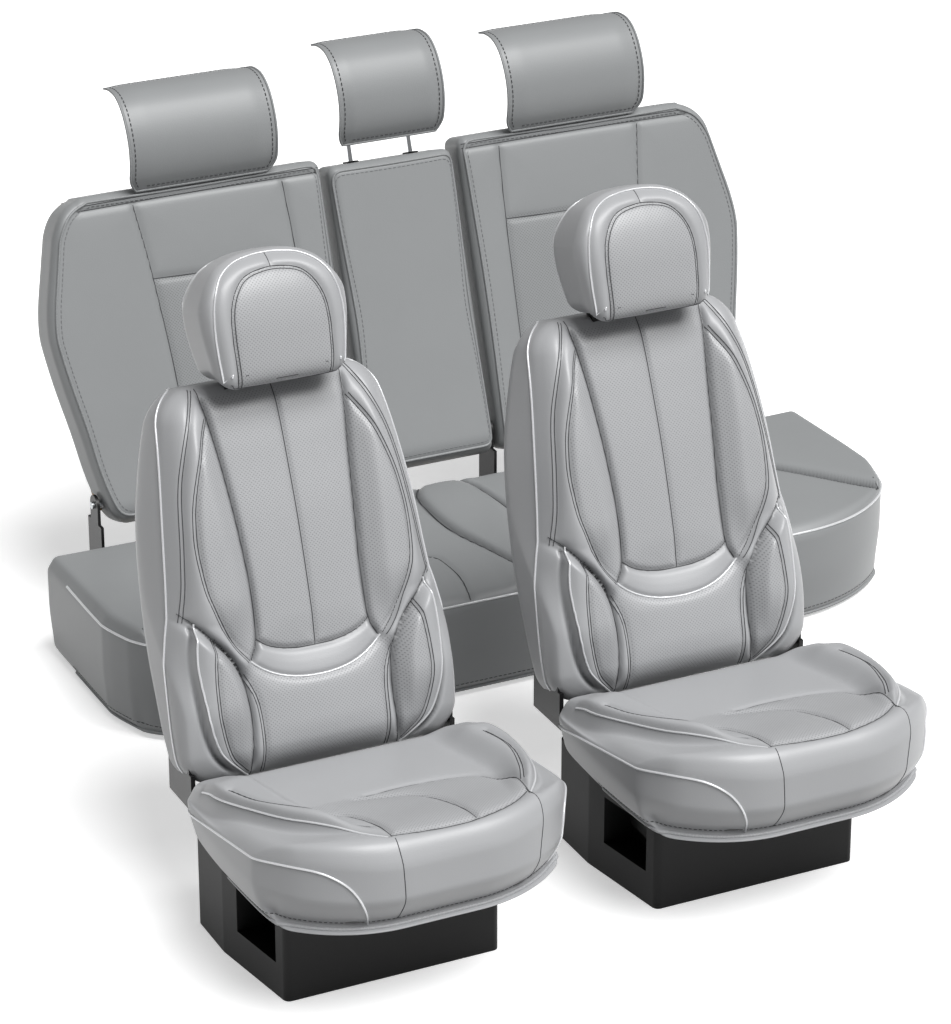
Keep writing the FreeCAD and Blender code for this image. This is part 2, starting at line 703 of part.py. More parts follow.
REAR_INNER_BRACKET = (MIDDLE_BACK_WIDTH / 2 + SIDE_BACK_INNER - REAR_BRACKET_THICKNESS) / 2
REAR_OUTER_BRACKET = SIDE_BACK_FOOT + 10


def rear_brackets():
    """The four upright plates on the base board that carry the rear backs' hinge pins."""
    plates = []
    for x in (REAR_INNER_BRACKET, REAR_OUTER_BRACKET):
        reach = (x, x + REAR_BRACKET_THICKNESS)
        half = REAR_BRACKET_LENGTH / 2
        web = block(reach, (REAR_HINGE_Y - half, REAR_HINGE_Y + half), (BOARD_THICKNESS, REAR_HINGE_Z - half))
        neck = block(reach, (REAR_HINGE_Y - 20, REAR_HINGE_Y + 20), (BOARD_THICKNESS, REAR_HINGE_Z))
        eye = rod(20, (reach[0], REAR_HINGE_Y, REAR_HINGE_Z), (reach[1], REAR_HINGE_Y, REAR_HINGE_Z))
        bore = rod(REAR_PIN_R, (reach[0] - 1, REAR_HINGE_Y, REAR_HINGE_Z), (reach[1] + 1, REAR_HINGE_Y, REAR_HINGE_Z))
        plate = fuse(web, neck, eye).cut(bore)
        plates += [plate, mirrored(plate)]
    return Part.Compound(plates)


def rear_pins():
    """Four pins: the inner pair carries a back on each side of its plate."""
    reach = REAR_ARM_INSET + 2 * REAR_ARM_THICKNESS
    inner = (MIDDLE_BACK_WIDTH / 2 - reach, SIDE_BACK_INNER + reach)
    outer = (SIDE_BACK_FOOT - reach, REAR_OUTER_BRACKET + REAR_BRACKET_THICKNESS + PIN_HEAD)
    pins = []
    for start, end in (inner, outer):
        pin = rod(REAR_PIN_R, (start, REAR_HINGE_Y, REAR_HINGE_Z), (end, REAR_HINGE_Y, REAR_HINGE_Z))
        pins += [pin, mirrored(pin)]
    return Part.Compound(pins)


def rear_profile(height):
    return [
        (-REAR_ROUND, -REAR_ROUND, REAR_ROUND - 2),
        (REAR_ROUND, -REAR_ROUND, REAR_ROUND - 2),
        (REAR_ROUND, height, 28),
        (-REAR_ROUND, height, 28),
    ]


def side_plan():
    """The outline of the right-hand rear back, from its inner edge out."""
    low, high = -REAR_ROUND, SIDE_BACK_HEIGHT
    return [
        (SIDE_BACK_INNER, low, 10),
        (SIDE_BACK_FOOT, low, 40),
        (SIDE_BACK_FOOT + 20, 110, 120),
        (SIDE_BACK_OUTER, 330, 200),
        (SIDE_BACK_SHOULDER, high, 70),
        (SIDE_BACK_INNER, high, 45),
    ]


def middle_plan():
    half = MIDDLE_BACK_WIDTH / 2
    low, high = -REAR_ROUND, MIDDLE_BACK_HEIGHT
    return [(-half, low, 10), (half, low, 10), (half, high, 16), (-half, high, 16)]


def rear_form(plan, height, inset):
    return pad(rear_profile(height), plan, "xz", BENCH_WIDTH, (-100, 100), inset)


def rear_cover(plan, height, sleeves):
    """A rear back's cover: closed all round, open below, with holes for the pins and the headrest sleeves."""
    shell = rear_form(plan, height, 0).cut(rear_form(plan, height, COVER_WALL))
    wide = (-BENCH_WIDTH, BENCH_WIDTH)
    shell = shell.cut(block(wide, (-100, 100), (-100, -REAR_OPEN_BELOW)))
    shell = shell.cut(rod(REAR_PIN_R + HOLE_EASE, (-BENCH_WIDTH, 0, 0), (BENCH_WIDTH, 0, 0)))
    for x in sleeves:
        shell = shell.cut(hoop_sleeve_block(x, height, SKIN_GAP))
    return shell


def rear_board(plan, height):
    """The stiff board inside a rear back, with an arm at each end for its hinge pin."""
    inset = COVER_WALL + SKIN_GAP
    board = rear_form(plan, height, inset).common(
        block((-BENCH_WIDTH, BENCH_WIDTH), (REAR_BOARD_FRONT, REAR_BOARD_FRONT + BOARD_THICKNESS), (-15, height))
    )
    whole = [board] + [rear_arm(x) for x in arm_places(plan)]
    return fuse(*whole).cut(rod(REAR_PIN_R + PIN_PLAY, (-BENCH_WIDTH, 0, 0), (BENCH_WIDTH, 0, 0)))


def arm_places(plan):
    left = min(point[0] for point in plan[:2]) + REAR_ARM_INSET
    right = max(point[0] for point in plan[:2]) - REAR_ARM_INSET - REAR_ARM_THICKNESS
    return left, right


def rear_arm(x, grow=0.0):
    reach = 15 + grow
    return block(
        (x - grow, x + REAR_ARM_THICKNESS + grow),
        (-reach, REAR_BOARD_FRONT + BOARD_THICKNESS),
        (-reach, REAR_ARM_HEIGHT + grow),
    )


def rear_foam(plan, height, sleeves):
    """The pad ahead of the board, cut away for the arms, the pins and the headrest sleeves."""
    foam = rear_form(plan, height, COVER_WALL + SKIN_GAP).common(
        block((-BENCH_WIDTH, BENCH_WIDTH), (-100, REAR_BOARD_FRONT), (-REAR_OPEN_BELOW, height))
    )
    for x in arm_places(plan):
        foam = foam.cut(rear_arm(x, SKIN_GAP))
    foam = foam.cut(rod(REAR_PIN_R + HOLE_EASE, (-BENCH_WIDTH, 0, 0), (BENCH_WIDTH, 0, 0)))
    for x in sleeves:
        foam = foam.cut(hoop_sleeve_block(x, height, SKIN_GAP))
        foam = foam.cut(rod(HOOP_R + 2, (x, HOOP_BACK, 0), (x, HOOP_BACK, height)))
    return foam


def hoop_sleeve_block(x, height, grow=0.0):
    side = HOOP_SLEEVE / 2 + grow
    return block(
        (x - side, x + side), (HOOP_BACK - side, HOOP_BACK + side), (height - HOOP_DEPTH - grow, height + SLEEVE_COLLAR)
    )


def rear_sleeves(height, sleeves):
    """The guides for one rear headrest hoop, fixed to the front of the board."""
    made = []
    for x in sleeves:
        bore = rod(HOOP_R + PIN_PLAY, (x, HOOP_BACK, 0), (x, HOOP_BACK, 2 * height))
        made.append(hoop_sleeve_block(x, height).cut(bore))
    return Part.Compound(made)


def hoop_places(centre):
    return centre - HOOP_SPREAD / 2, centre + HOOP_SPREAD / 2


def headrest_hoop(centre, height, raise_by):
    """The bent rod that carries an open headrest cover: two posts and the bar across their tops."""
    left, right = hoop_places(centre)
    low, high = height - HOOP_DEPTH + 5, height + raise_by + HOOP_RISE
    return fuse(
        rod(HOOP_R, (left, HOOP_BACK, low), (left, HOOP_BACK, high)),
        rod(HOOP_R, (right, HOOP_BACK, low), (right, HOOP_BACK, high)),
        rod(HOOP_R, (left, HOOP_BACK, high), (right, HOOP_BACK, high)),
        Part.makeSphere(HOOP_R, Vector(left, HOOP_BACK, high)),
        Part.makeSphere(HOOP_R, Vector(right, HOOP_BACK, high)),
    )


def headrest_shell(centre, width, base):
    """An open headrest cover: one sheet bent forward over the hoop, hollow and open behind."""
    top = base + HEADREST_SHELL_HEIGHT
    front = -REAR_ROUND - 6
    rear = HOOP_BACK + 24
    section = [
        (front, base, 0.5),
        (front - HEADREST_SHELL_BULGE, base + 70, 80),
        (front - HEADREST_SHELL_BULGE + 8, top, 90),
        (rear, top, 0.5),
        (rear, base, 0.5),
    ]
    edges = (centre - width / 2, centre + width / 2)
    solid = slab(section, "yz", *edges)
    inner = slab(section, "yz", *edges, HEADREST_SHELL_WALL)
    open_rear = block(edges, (front + HEADREST_SHELL_WALL, rear + 1), (base - 1, top - HEADREST_SHELL_WALL))
    return solid.cut(inner).cut(open_rear)


def rear_bench():
    """Every piece of the bench, as {node: shape} in the bench's own frame."""
    pieces = {
        "bench_board": bench_board(),
        "bench_foam": bench_foam(),
        "bench_cover": bench_cover(),
        "rear_hinge_brackets": rear_brackets(),
        "rear_hinge_pins": rear_pins(),
    }
    right_plan = side_plan()
    left_plan = [(-x, z, radius) for x, z, radius in right_plan]
    backs = {
        "rear_left": (left_plan, SIDE_BACK_HEIGHT, -SIDE_HEADREST_AT, SIDE_HEADREST_WIDTH),
        "rear_middle": (middle_plan(), MIDDLE_BACK_HEIGHT, 0.0, MIDDLE_HEADREST_WIDTH),
        "rear_right": (right_plan, SIDE_BACK_HEIGHT, SIDE_HEADREST_AT, SIDE_HEADREST_WIDTH),
    }
    for name, (plan, height, centre, width) in backs.items():
        raise_by = MIDDLE_HEADREST_RAISE if name == "rear_middle" else -HEADREST_SHELL_DROP
        sleeves = hoop_places(centre)
        upright = {
            "board": rear_board(plan, height),
            "foam": rear_foam(plan, height, sleeves),
            "cover": rear_cover(plan, height, sleeves),
            "headrest_sleeves": rear_sleeves(height, sleeves),
            "headrest_hoop": headrest_hoop(centre, height, raise_by),
            "headrest_cover": headrest_shell(centre, width, height + raise_by),
        }
        for part, shape in upright.items():
            pieces[f"{name}_{part}"] = leaned(shape, REAR_LEAN, REAR_HINGE_Y, REAR_HINGE_Z)
    return pieces


# ---- The set ----
def placed(pieces, x, y):
    moved = {}
    for name, shape in pieces.items():
        shape = shape.copy()
        shape.translate(Vector(x, y, 0))
        moved[name] = shape
    return moved


# The set's middle, from its outermost pieces: the left seat's side, the bench's right end,
# the front cushions' front and the rear headrests' back.
LEFT_EDGE = -CUSHION_WIDTH / 2
RIGHT_EDGE = BENCH_ASIDE + BENCH_WIDTH / 2
_lean = math.radians(REAR_LEAN)
_top = MIDDLE_BACK_HEIGHT + MIDDLE_HEADREST_RAISE + HEADREST_SHELL_HEIGHT
REAR_EDGE = BENCH_BEHIND + REAR_HINGE_Y + _top * math.sin(_lean) + (HOOP_BACK + 24) * math.cos(_lean)
MIDDLE_X = (LEFT_EDGE + RIGHT_EDGE) / 2
MIDDLE_Y = REAR_EDGE / 2


def whole_set():
    set_pieces = placed(front_seat("left"), -MIDDLE_X, -MIDDLE_Y)
    set_pieces.update(placed(front_seat("right"), FRONT_SPACING - MIDDLE_X, -MIDDLE_Y))
    set_pieces.update(placed(rear_bench(), BENCH_ASIDE - MIDDLE_X, BENCH_BEHIND - MIDDLE_Y))
    return set_pieces


PIECES = whole_set()
os.makedirs("parts", exist_ok=True)
for node, piece in PIECES.items():
    piece.exportStep(f"parts/{node}.step")
print(len(PIECES), "nodes")
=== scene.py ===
# %% [markdown]
# # Seat covers for a truck: two front bucket seats and a rear bench
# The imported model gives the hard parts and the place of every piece. Blender adds what is sewn:
# padded leatherette covers with seams, silver piping, stitched hems and perforated panels.
# Each cover is drawn in its own seat's frame, in millimetres, and then put in place in metres.

# %% Load the frame
import json
import math

import bmesh
import bpy
import numpy as np
from mathutils import Matrix, Vector
from mathutils.bvhtree import BVHTree


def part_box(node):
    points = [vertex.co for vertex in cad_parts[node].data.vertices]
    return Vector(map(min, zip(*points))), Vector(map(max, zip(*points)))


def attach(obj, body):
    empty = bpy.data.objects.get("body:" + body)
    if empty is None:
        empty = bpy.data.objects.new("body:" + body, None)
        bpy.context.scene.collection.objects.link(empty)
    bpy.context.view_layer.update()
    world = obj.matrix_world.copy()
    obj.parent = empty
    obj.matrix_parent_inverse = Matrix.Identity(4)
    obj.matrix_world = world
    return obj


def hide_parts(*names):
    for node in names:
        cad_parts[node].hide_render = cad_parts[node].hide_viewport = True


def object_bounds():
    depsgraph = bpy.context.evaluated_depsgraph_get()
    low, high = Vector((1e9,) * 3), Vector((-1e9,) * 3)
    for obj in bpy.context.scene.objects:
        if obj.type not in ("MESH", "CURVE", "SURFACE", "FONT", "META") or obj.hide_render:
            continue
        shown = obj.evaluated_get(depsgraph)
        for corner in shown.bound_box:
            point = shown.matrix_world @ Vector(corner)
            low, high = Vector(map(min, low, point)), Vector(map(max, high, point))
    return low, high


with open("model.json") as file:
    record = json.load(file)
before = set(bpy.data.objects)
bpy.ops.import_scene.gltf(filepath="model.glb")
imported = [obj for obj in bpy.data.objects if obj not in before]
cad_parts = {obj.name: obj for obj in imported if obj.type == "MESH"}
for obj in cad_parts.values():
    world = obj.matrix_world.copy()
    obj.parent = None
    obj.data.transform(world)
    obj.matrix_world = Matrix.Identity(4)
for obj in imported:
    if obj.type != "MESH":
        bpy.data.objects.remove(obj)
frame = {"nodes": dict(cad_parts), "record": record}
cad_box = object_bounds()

MM = 0.001
nodes = frame["nodes"]
print("nodes", len(nodes), "box", [[round(v, 3) for v in c] for c in cad_box])

# %% [markdown]
# ## Where the seats are
# Each seat's own frame starts at the front of its cushion, on the floor, in the middle of its width.
# The plinth and the base board give that point, and the hinge brackets give the line that a back leans about.
# A back is drawn upright round its hinge line, so one matrix leans it back and puts it in place.

# %% Places
PLINTH_BEHIND, BOARD_BEHIND = 225, 70  # from a cushion's front to the front of what stands under it
BRACKET_ROUND, REAR_BRACKET_ROUND = 42, 20
FRONT_LEAN, REAR_LEAN = 18.5, 19.3


def seat_place(stand, behind):
    """The matrix from a seat's own millimetres to the room's metres."""
    low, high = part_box(stand)
    start = Vector(((low.x + high.x) / 2, low.y - behind * MM, 0))
    return Matrix.Translation(start) @ Matrix.Scale(MM, 4)


def back_place(brackets, eye, lean):
    low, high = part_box(brackets)
    hinge = Vector(((low.x + high.x) / 2, (low.y + high.y) / 2, high.z - eye * MM))
    return Matrix.Translation(hinge) @ Matrix.Rotation(-math.radians(lean), 4, "X") @ Matrix.Scale(MM, 4)


SIDES = ("left", "right")
CUSHION_AT = {s: seat_place(f"plinth_{s}", PLINTH_BEHIND) for s in SIDES}
BACK_AT = {s: back_place(f"recliner_brackets_{s}", BRACKET_ROUND, FRONT_LEAN) for s in SIDES}
BENCH_AT = seat_place("bench_board", BOARD_BEHIND)
REAR_AT = back_place("rear_hinge_brackets", REAR_BRACKET_ROUND, REAR_LEAN)
print("left hinge", [round(v, 3) for v in BACK_AT["left"].translation])

# %% [markdown]
# ## Curves from a few points
# A seam or an outline is a few given points. A Catmull-Rom curve goes through them all, and it is
# easy to read: the points are on the curve. Distances to such a curve tell where a sewn channel sinks.

# %% Curve helpers
def smooth_line(points, step=6.0):
    """Points about step apart on a smooth curve through the given ones."""
    p = np.array(points, float)
    p = np.vstack([2 * p[0] - p[1], p, 2 * p[-1] - p[-2]])
    runs = []
    for i in range(1, len(p) - 2):
        a, b, c, d = p[i - 1 : i + 3]
        t = np.linspace(0, 1, max(2, int(np.linalg.norm(c - b) / step)), endpoint=False)[:, None]
        runs.append(b + 0.5 * t * (c - a + t * (2 * a - 5 * b + 4 * c - d + t * (3 * b - a - 3 * c + d))))
    return np.vstack(runs + [p[-2:-1]])


def table(points):
    """A function that reads a smooth curve through (input, output) points."""
    line = smooth_line(points)
    return lambda value: np.interp(value, line[:, 0], line[:, 1])


def ease(value, start, end):
    """0 before start, 1 after end, and smooth between them."""
    t = np.clip((value - start) / (end - start), 0, 1)
    return t * t * (3 - 2 * t)


def distance(p, line):
    """How far each flat point is from a line of points."""
    best = np.full(len(p), 1e9)
    for a, b in zip(line[:-1], line[1:]):
        along = b - a
        t = np.clip((p - a) @ along / (along @ along), 0, 1)
        best = np.minimum(best, np.linalg.norm(p - a - t[:, None] * along, axis=1))
    return best


def inside(p, corners):
    """Which flat points lie inside a closed outline."""
    x, y = p.T
    odd = np.zeros(len(p), bool)
    for (x0, y0), (x1, y1) in zip(corners, np.roll(corners, -1, axis=0)):
        crosses = (y0 > y) != (y1 > y)
        odd ^= crosses & (x < x0 + (y - y0) * (x1 - x0) / (y1 - y0 + 1e-9))
    return odd


# %% [markdown]
# ## A padded cover from a cube
# A cover pulled over foam is a rounded block with a soft face. It could be sculpted, but a cube that is cut
# into small squares and then moved point by point gives the same result each run, and every rule for it
# can be read. The cube's edges are cut along one direction at a time, so the squares stay even.

# %% Cover helpers
def rounded(q, half, radius):
    """Box points moved onto the same box with round edges, and the direction that each one faces."""
    core = np.clip(q, -(half - radius), half - radius)
    out = q - core
    out /= np.linalg.norm(out, axis=1, keepdims=True)
    return core + out * radius, out


def soft_mesh(name, half, spacing, radius, shape):
    """A closed mesh of squares about spacing apart. shape() gives their places, flat places and marks."""
    half = np.array(half, float)
    bm = bmesh.new()
    bmesh.ops.create_cube(bm, size=2)
    for axis in range(3):
        along = [e for e in bm.edges if abs(e.verts[0].co[axis] - e.verts[1].co[axis]) > 1]
        bmesh.ops.subdivide_edges(bm, edges=along, cuts=int(2 * half[axis] / spacing), use_grid_fill=True)
    mesh = bpy.data.meshes.new(name)
    bm.to_mesh(mesh)
    bm.free()
    co = np.empty(len(mesh.vertices) * 3)
    mesh.vertices.foreach_get("co", co)
    q, out = rounded(co.reshape(-1, 3) * half, half, radius)
    p, flat, marks = shape(q, out)
    mesh.vertices.foreach_set("co", p.ravel())
    for mark, values in marks.items():
        mesh.attributes.new(mark, "FLOAT", "POINT").data.foreach_set("value", values.astype(float))
    corner = np.empty(len(mesh.loops), int)
    mesh.loops.foreach_get("vertex_index", corner)
    mesh.uv_layers.new(name="flat").data.foreach_set("uv", (flat[corner] * MM).ravel())
    mesh.shade_smooth()
    mesh.update()
    print(name, len(mesh.polygons), "squares")
    return mesh


def sewn(p, seams, weight, puff=4.0, spread=15.0):
    """How far the face rises between its seams, and how much painted shade each point gets in a channel."""
    nearest = np.full(len(p), 1e9)
    sink = np.zeros(len(p))
    for line, depth, width in seams:
        d = distance(p, line)
        nearest = np.minimum(nearest, d)
        sink = np.maximum(sink, depth * np.exp(-((d / width) ** 2)))
    rise = puff * (1 - np.exp(-nearest / spread)) - sink
    # The second value is the painted shade for the channels, strongest at the bottom of a deep seam.
    return rise * weight, np.clip(sink / 9, 0, 1) ** 1.6 * weight


def tree_of(mesh):
    return BVHTree.FromPolygons([v.co for v in mesh.vertices], [p.vertices for p in mesh.polygons])


def laid(tree, line, toward, lift=0.0):
    """A line of points put on the cover. toward is one way to push them, or gives the way for each point."""
    placed = []
    for point in line:
        way = Vector(toward(point) if callable(toward) else toward).normalized()
        hit = tree.ray_cast(Vector(point) - way * 250, way)
        if hit[0] is None:
            hit = tree.find_nearest(Vector(point))
        placed.append(hit[0] + hit[1] * lift)
    return placed


def inward(y, z=None):
    """The way from a point to the middle of the piece, level or at a fixed height."""
    return lambda p: (-p[0], y - p[1], 0 if z is None else z - p[2])


def cord_mesh(name, lines, radius, closed=False, sides=2):
    """Round cords along lines of points, as one mesh."""
    curve = bpy.data.curves.new(name, "CURVE")
    curve.dimensions = "3D"
    curve.bevel_depth = radius
    curve.bevel_resolution = sides
    curve.use_fill_caps = True
    for line in lines:
        spline = curve.splines.new("POLY")
        spline.points.add(len(line) - 1)
        for point, co in zip(spline.points, line):
            point.co = (*co, 1)
        spline.use_cyclic_u = closed
    holder = bpy.data.objects.new(name, curve)
    mesh = bpy.data.meshes.new_from_object(holder)
    bpy.data.objects.remove(holder)
    mesh.shade_smooth()
    return mesh


def stitches(line, length=5.0, gap=3.5):
    """Short runs along a line, as a sewing machine leaves them."""
    line = [Vector(p) for p in line]
    runs, run, walked = [], [line[0]], 0.0
    on = True
    for a, b in zip(line[:-1], line[1:]):
        reach = (b - a).length
        at = 0.0
        while reach - at > 1e-6:
            need = (length if on else gap) - walked
            if at + need > reach:
                walked += reach - at
                at = reach
                if on:
                    run.append(b)
            else:
                at += need
                here = a.lerp(b, at / reach)
                if on:
                    runs.append(run + [here])
                on = not on
                walked = 0.0
                run = [here]
    return runs


def mirrored(lines):
    """The lines and their mirror images."""
    flip = np.array([-1, 1, 1])
    return [np.array(line, float) for line in lines] + [np.array(line, float) * flip for line in lines]


def show(name, mesh, place, body, material, replaces=()):
    """A finished piece: the mesh in place, riding on its body."""
    mesh = mesh.copy()
    mesh.name = name
    mesh.transform(place)
    mesh.materials.clear()
    mesh.materials.append(material)
    piece = bpy.data.objects.new(name, mesh)
    bpy.context.scene.collection.objects.link(piece)
    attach(piece, body)
    if replaces:
        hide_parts(*replaces)
    return piece


# %% [markdown]
# ## Node helpers
# A colour is chosen as the hex value seen on a screen and turned to the linear value that light uses.
# One small function adds a shader node with its settings and links.

# %% Node helpers
def colour(hex_value):
    channels = [int(hex_value[i : i + 2], 16) / 255 for i in (1, 3, 5)]
    return (*(c / 12.92 if c <= 0.04045 else ((c + 0.055) / 1.055) ** 2.4 for c in channels), 1)


def add(tree, kind, values=(), links=(), **settings):
    """One node: settings are its own properties, values and links go to its inputs by name or number."""
    node = tree.nodes.new(kind)
    for name, value in settings.items():
        setattr(node, name, value)
    for key, value in dict(values).items():
        node.inputs[key].default_value = value
    for key, socket in dict(links).items():
        tree.links.new(socket, node.inputs[key])
    return node


def new_material(name):
    material = bpy.data.materials.new(name)
    material.use_nodes = True
    tree = material.node_tree
    shader = tree.nodes["Principled BSDF"]
    return material, tree, shader


# %% [markdown]
# ## Leatherette
# The covers are PVC leatherette: a soft vinyl film with a pressed grain on a knitted backing.
# The grain is a fine pebble about 2.4 mm across, drawn twice as coarse as the real one so that it shows.
# Some panels are perforated with 1.2 mm holes in slanting rows. The real pitch is about 3 mm, and it is
# drawn at 4.6 mm to show. The holes follow the cover's own flat map, and a mark on the mesh says
# where they are.
# A second mark paints shade into the channels: the deeper a channel sinks, the darker it is painted.

# %% Leatherette
GRAIN = 2.4
HOLE_PITCH = 4.6
HOLE_SIZE = 0.23  # of the pitch


def leatherette(name, base, hole_and_shade_colour, roughness):
    material, tree, shader = new_material(name)
    place = add(tree, "ShaderNodeTexCoord").outputs["Object"]
    pebble = add(
        tree, "ShaderNodeTexVoronoi", {"Scale": 1 / (GRAIN * MM), "Randomness": 0.9}, {"Vector": place}
    )
    cloud = add(tree, "ShaderNodeTexNoise", {"Scale": 7.0, "Detail": 3.0}, {"Vector": place})
    flat = add(tree, "ShaderNodeUVMap", uv_map="flat").outputs["UV"]
    turned = add(
        tree,
        "ShaderNodeMapping",
        {"Rotation": (0, 0, math.radians(45)), "Scale": (1 / (HOLE_PITCH * MM),) * 3},
        {"Vector": flat},
    )
    cell = add(tree, "ShaderNodeVectorMath", {}, {0: turned.outputs[0]}, operation="FRACTION")
    centred = add(
        tree, "ShaderNodeVectorMath", {1: (0.5, 0.5, 0)}, {0: cell.outputs[0]}, operation="SUBTRACT"
    )
    away = add(tree, "ShaderNodeVectorMath", {}, {0: centred.outputs[0]}, operation="LENGTH")
    hole = add(
        tree,
        "ShaderNodeMapRange",
        {"From Min": HOLE_SIZE + 0.07, "From Max": HOLE_SIZE - 0.07, "To Min": 0.0, "To Max": 1.0},
        {"Value": away.outputs["Value"]},
    )
    mark = add(tree, "ShaderNodeAttribute", attribute_name="perforated").outputs["Fac"]
    holes = add(tree, "ShaderNodeMath", {}, {0: hole.outputs[0], 1: mark}, operation="MULTIPLY")
    # Painted shade: the sewn channels are mixed towards the dark colour, more where they sink deeper.
    painted_shade_mark = add(tree, "ShaderNodeAttribute", attribute_name="painted_crease_shade").outputs["Fac"]
    tone = add(tree, "ShaderNodeMix", {}, {"Factor": cloud.outputs["Fac"]}, data_type="RGBA")
    tone.inputs[6].default_value = tuple(0.93 * c for c in colour(base)[:3]) + (1,)
    tone.inputs[7].default_value = colour(base)
    painted_shade_mix = add(tree, "ShaderNodeMix", {}, {"Factor": painted_shade_mark}, data_type="RGBA")
    tree.links.new(tone.outputs[2], painted_shade_mix.inputs[6])
    painted_shade_mix.inputs[7].default_value = colour(hole_and_shade_colour)
    shade = add(tree, "ShaderNodeMath", {1: 0.42}, {0: holes.outputs[0]}, operation="MULTIPLY")
    punched = add(tree, "ShaderNodeMix", {}, {"Factor": shade.outputs[0]}, data_type="RGBA")
    tree.links.new(painted_shade_mix.outputs[2], punched.inputs[6])
    punched.inputs[7].default_value = colour(hole_and_shade_colour)
    depth = add(tree, "ShaderNodeMath", {1: -0.8}, {0: holes.outputs[0]}, operation="MULTIPLY")
    grain = add(tree, "ShaderNodeMath", {1: 0.35}, {0: pebble.outputs["Distance"]}, operation="MULTIPLY")
    height = add(tree, "ShaderNodeMath", {}, {0: depth.outputs[0], 1: grain.outputs[0]}, operation="ADD")
    bump = add(tree, "ShaderNodeBump", {"Strength": 0.5, "Distance": 0.0005}, {"Height": height.outputs[0]})
    tree.links.new(punched.outputs[2], shader.inputs["Base Color"])
    tree.links.new(bump.outputs[0], shader.inputs["Normal"])
    shader.inputs["Roughness"].default_value = roughness
    shader.inputs["IOR"].default_value = 1.5
    shader.inputs["Sheen Weight"].default_value = 0.08
    shader.inputs["Coat Weight"].default_value = 0.12
    shader.inputs["Coat Roughness"].default_value = 0.35
    return material


FRONT_SKIN = leatherette("light_grey_pvc_leatherette", "#a6a7a9", "#38393b", 0.42)
REAR_SKIN = leatherette("mid_grey_pvc_leatherette", "#8a8c8d", "#2e2f31", 0.46)


# %% [markdown]
# ## Piping, thread and the hard finishes
# Silver piping is a cord wrapped in a metal-faced vinyl film, pale and glossy. Thread is twisted polyester.
# The plinth is injection-moulded ABS with a spark-eroded texture, the frame is powder-coated steel, rails and
# brackets are zinc-plated or black, posts are chromed rod and the base board is birch plywood.

# %% Other finishes
def speckled(name, low, high, cell, roughness, metallic=0.0, bump=0.2, kind="ShaderNodeTexNoise", **sockets):
    """A finish whose tone and surface vary with one fine pattern, cell millimetres across."""
    material, tree, shader = new_material(name)
    place = add(tree, "ShaderNodeTexCoord").outputs["Object"]
    pattern = add(tree, kind, {"Scale": 1 / (cell * MM)}, {"Vector": place})
    value = pattern.outputs["Fac" if kind == "ShaderNodeTexNoise" else "Distance"]
    tone = add(tree, "ShaderNodeMix", {}, {"Factor": value}, data_type="RGBA")
    tone.inputs[6].default_value = colour(low)
    tone.inputs[7].default_value = colour(high)
    relief = add(tree, "ShaderNodeBump", {"Strength": bump, "Distance": 0.0003}, {"Height": value})
    tree.links.new(tone.outputs[2], shader.inputs["Base Color"])
    tree.links.new(relief.outputs[0], shader.inputs["Normal"])
    shader.inputs["Roughness"].default_value = roughness
    shader.inputs["Metallic"].default_value = metallic
    for socket, setting in sockets.items():
        shader.inputs[socket.replace("_", " ")].default_value = setting
    return material


def plywood_sheet(name):
    """Birch plywood: pale face veneer with long grain along the board, sealed with a thin varnish."""
    material, tree, shader = new_material(name)
    place = add(tree, "ShaderNodeTexCoord").outputs["Object"]
    stretched = add(tree, "ShaderNodeMapping", {"Scale": (3, 60, 260)}, {"Vector": place})
    grain = add(
        tree, "ShaderNodeTexNoise", {"Scale": 1.0, "Detail": 6.0, "Distortion": 0.6},
        {"Vector": stretched.outputs[0]},
    )
    tone = add(tree, "ShaderNodeMix", {}, {"Factor": grain.outputs["Fac"]}, data_type="RGBA")
    tone.inputs[6].default_value = colour("#8d6a45")
    tone.inputs[7].default_value = colour("#c9a877")
    relief = add(
        tree, "ShaderNodeBump", {"Strength": 0.3, "Distance": 0.0004}, {"Height": grain.outputs["Fac"]}
    )
    tree.links.new(tone.outputs[2], shader.inputs["Base Color"])
    tree.links.new(relief.outputs[0], shader.inputs["Normal"])
    shader.inputs["Roughness"].default_value = 0.55
    return material


PIPING = speckled("silver_faced_vinyl_piping", "#c9cacc", "#eeeff1", 1.2, 0.28, metallic=0.35, bump=0.15)
THREAD = speckled("dark_polyester_thread", "#2e2f31", "#4a4b4d", 0.8, 0.8, bump=0.5)
PALE_THREAD = speckled("grey_polyester_thread", "#6b6c6e", "#8b8c8e", 0.8, 0.8, bump=0.5)
REAR_BINDING = speckled("mid_grey_vinyl_binding", "#7d7f80", "#929495", 2.4, 0.5, kind="ShaderNodeTexVoronoi")
FRONT_BINDING = speckled(
    "light_grey_vinyl_binding", "#9fa0a2", "#b9babc", 2.4, 0.48, kind="ShaderNodeTexVoronoi"
)
FINISHES = {
    "black_plastic": speckled(
        "moulded_black_abs", "#030303", "#080809", 1.4, 0.5, bump=0.3, kind="ShaderNodeTexVoronoi", IOR=1.3
    ),
    "black_steel": speckled("black_powder_coated_steel", "#0a0a0b", "#171718", 0.9, 0.42, bump=0.3),
    "zinc_steel": speckled("zinc_plated_steel", "#9a9da0", "#c2c5c8", 6.0, 0.34, metallic=1.0, bump=0.08),
    "chrome_rod": speckled("chromed_steel_rod", "#c9cbce", "#e2e4e6", 4.0, 0.1, metallic=1.0, bump=0.03),
    "plywood": plywood_sheet("birch_plywood"),
    "webbing": speckled("black_polyester_webbing", "#101011", "#232325", 1.5, 0.85, bump=0.8),
    "moulded_foam": speckled("cast_polyurethane_foam", "#c9b98a", "#ddd0a8", 1.6, 0.9, bump=0.6),
    "front_leatherette": FRONT_SKIN,
    "rear_leatherette": REAR_SKIN,
}
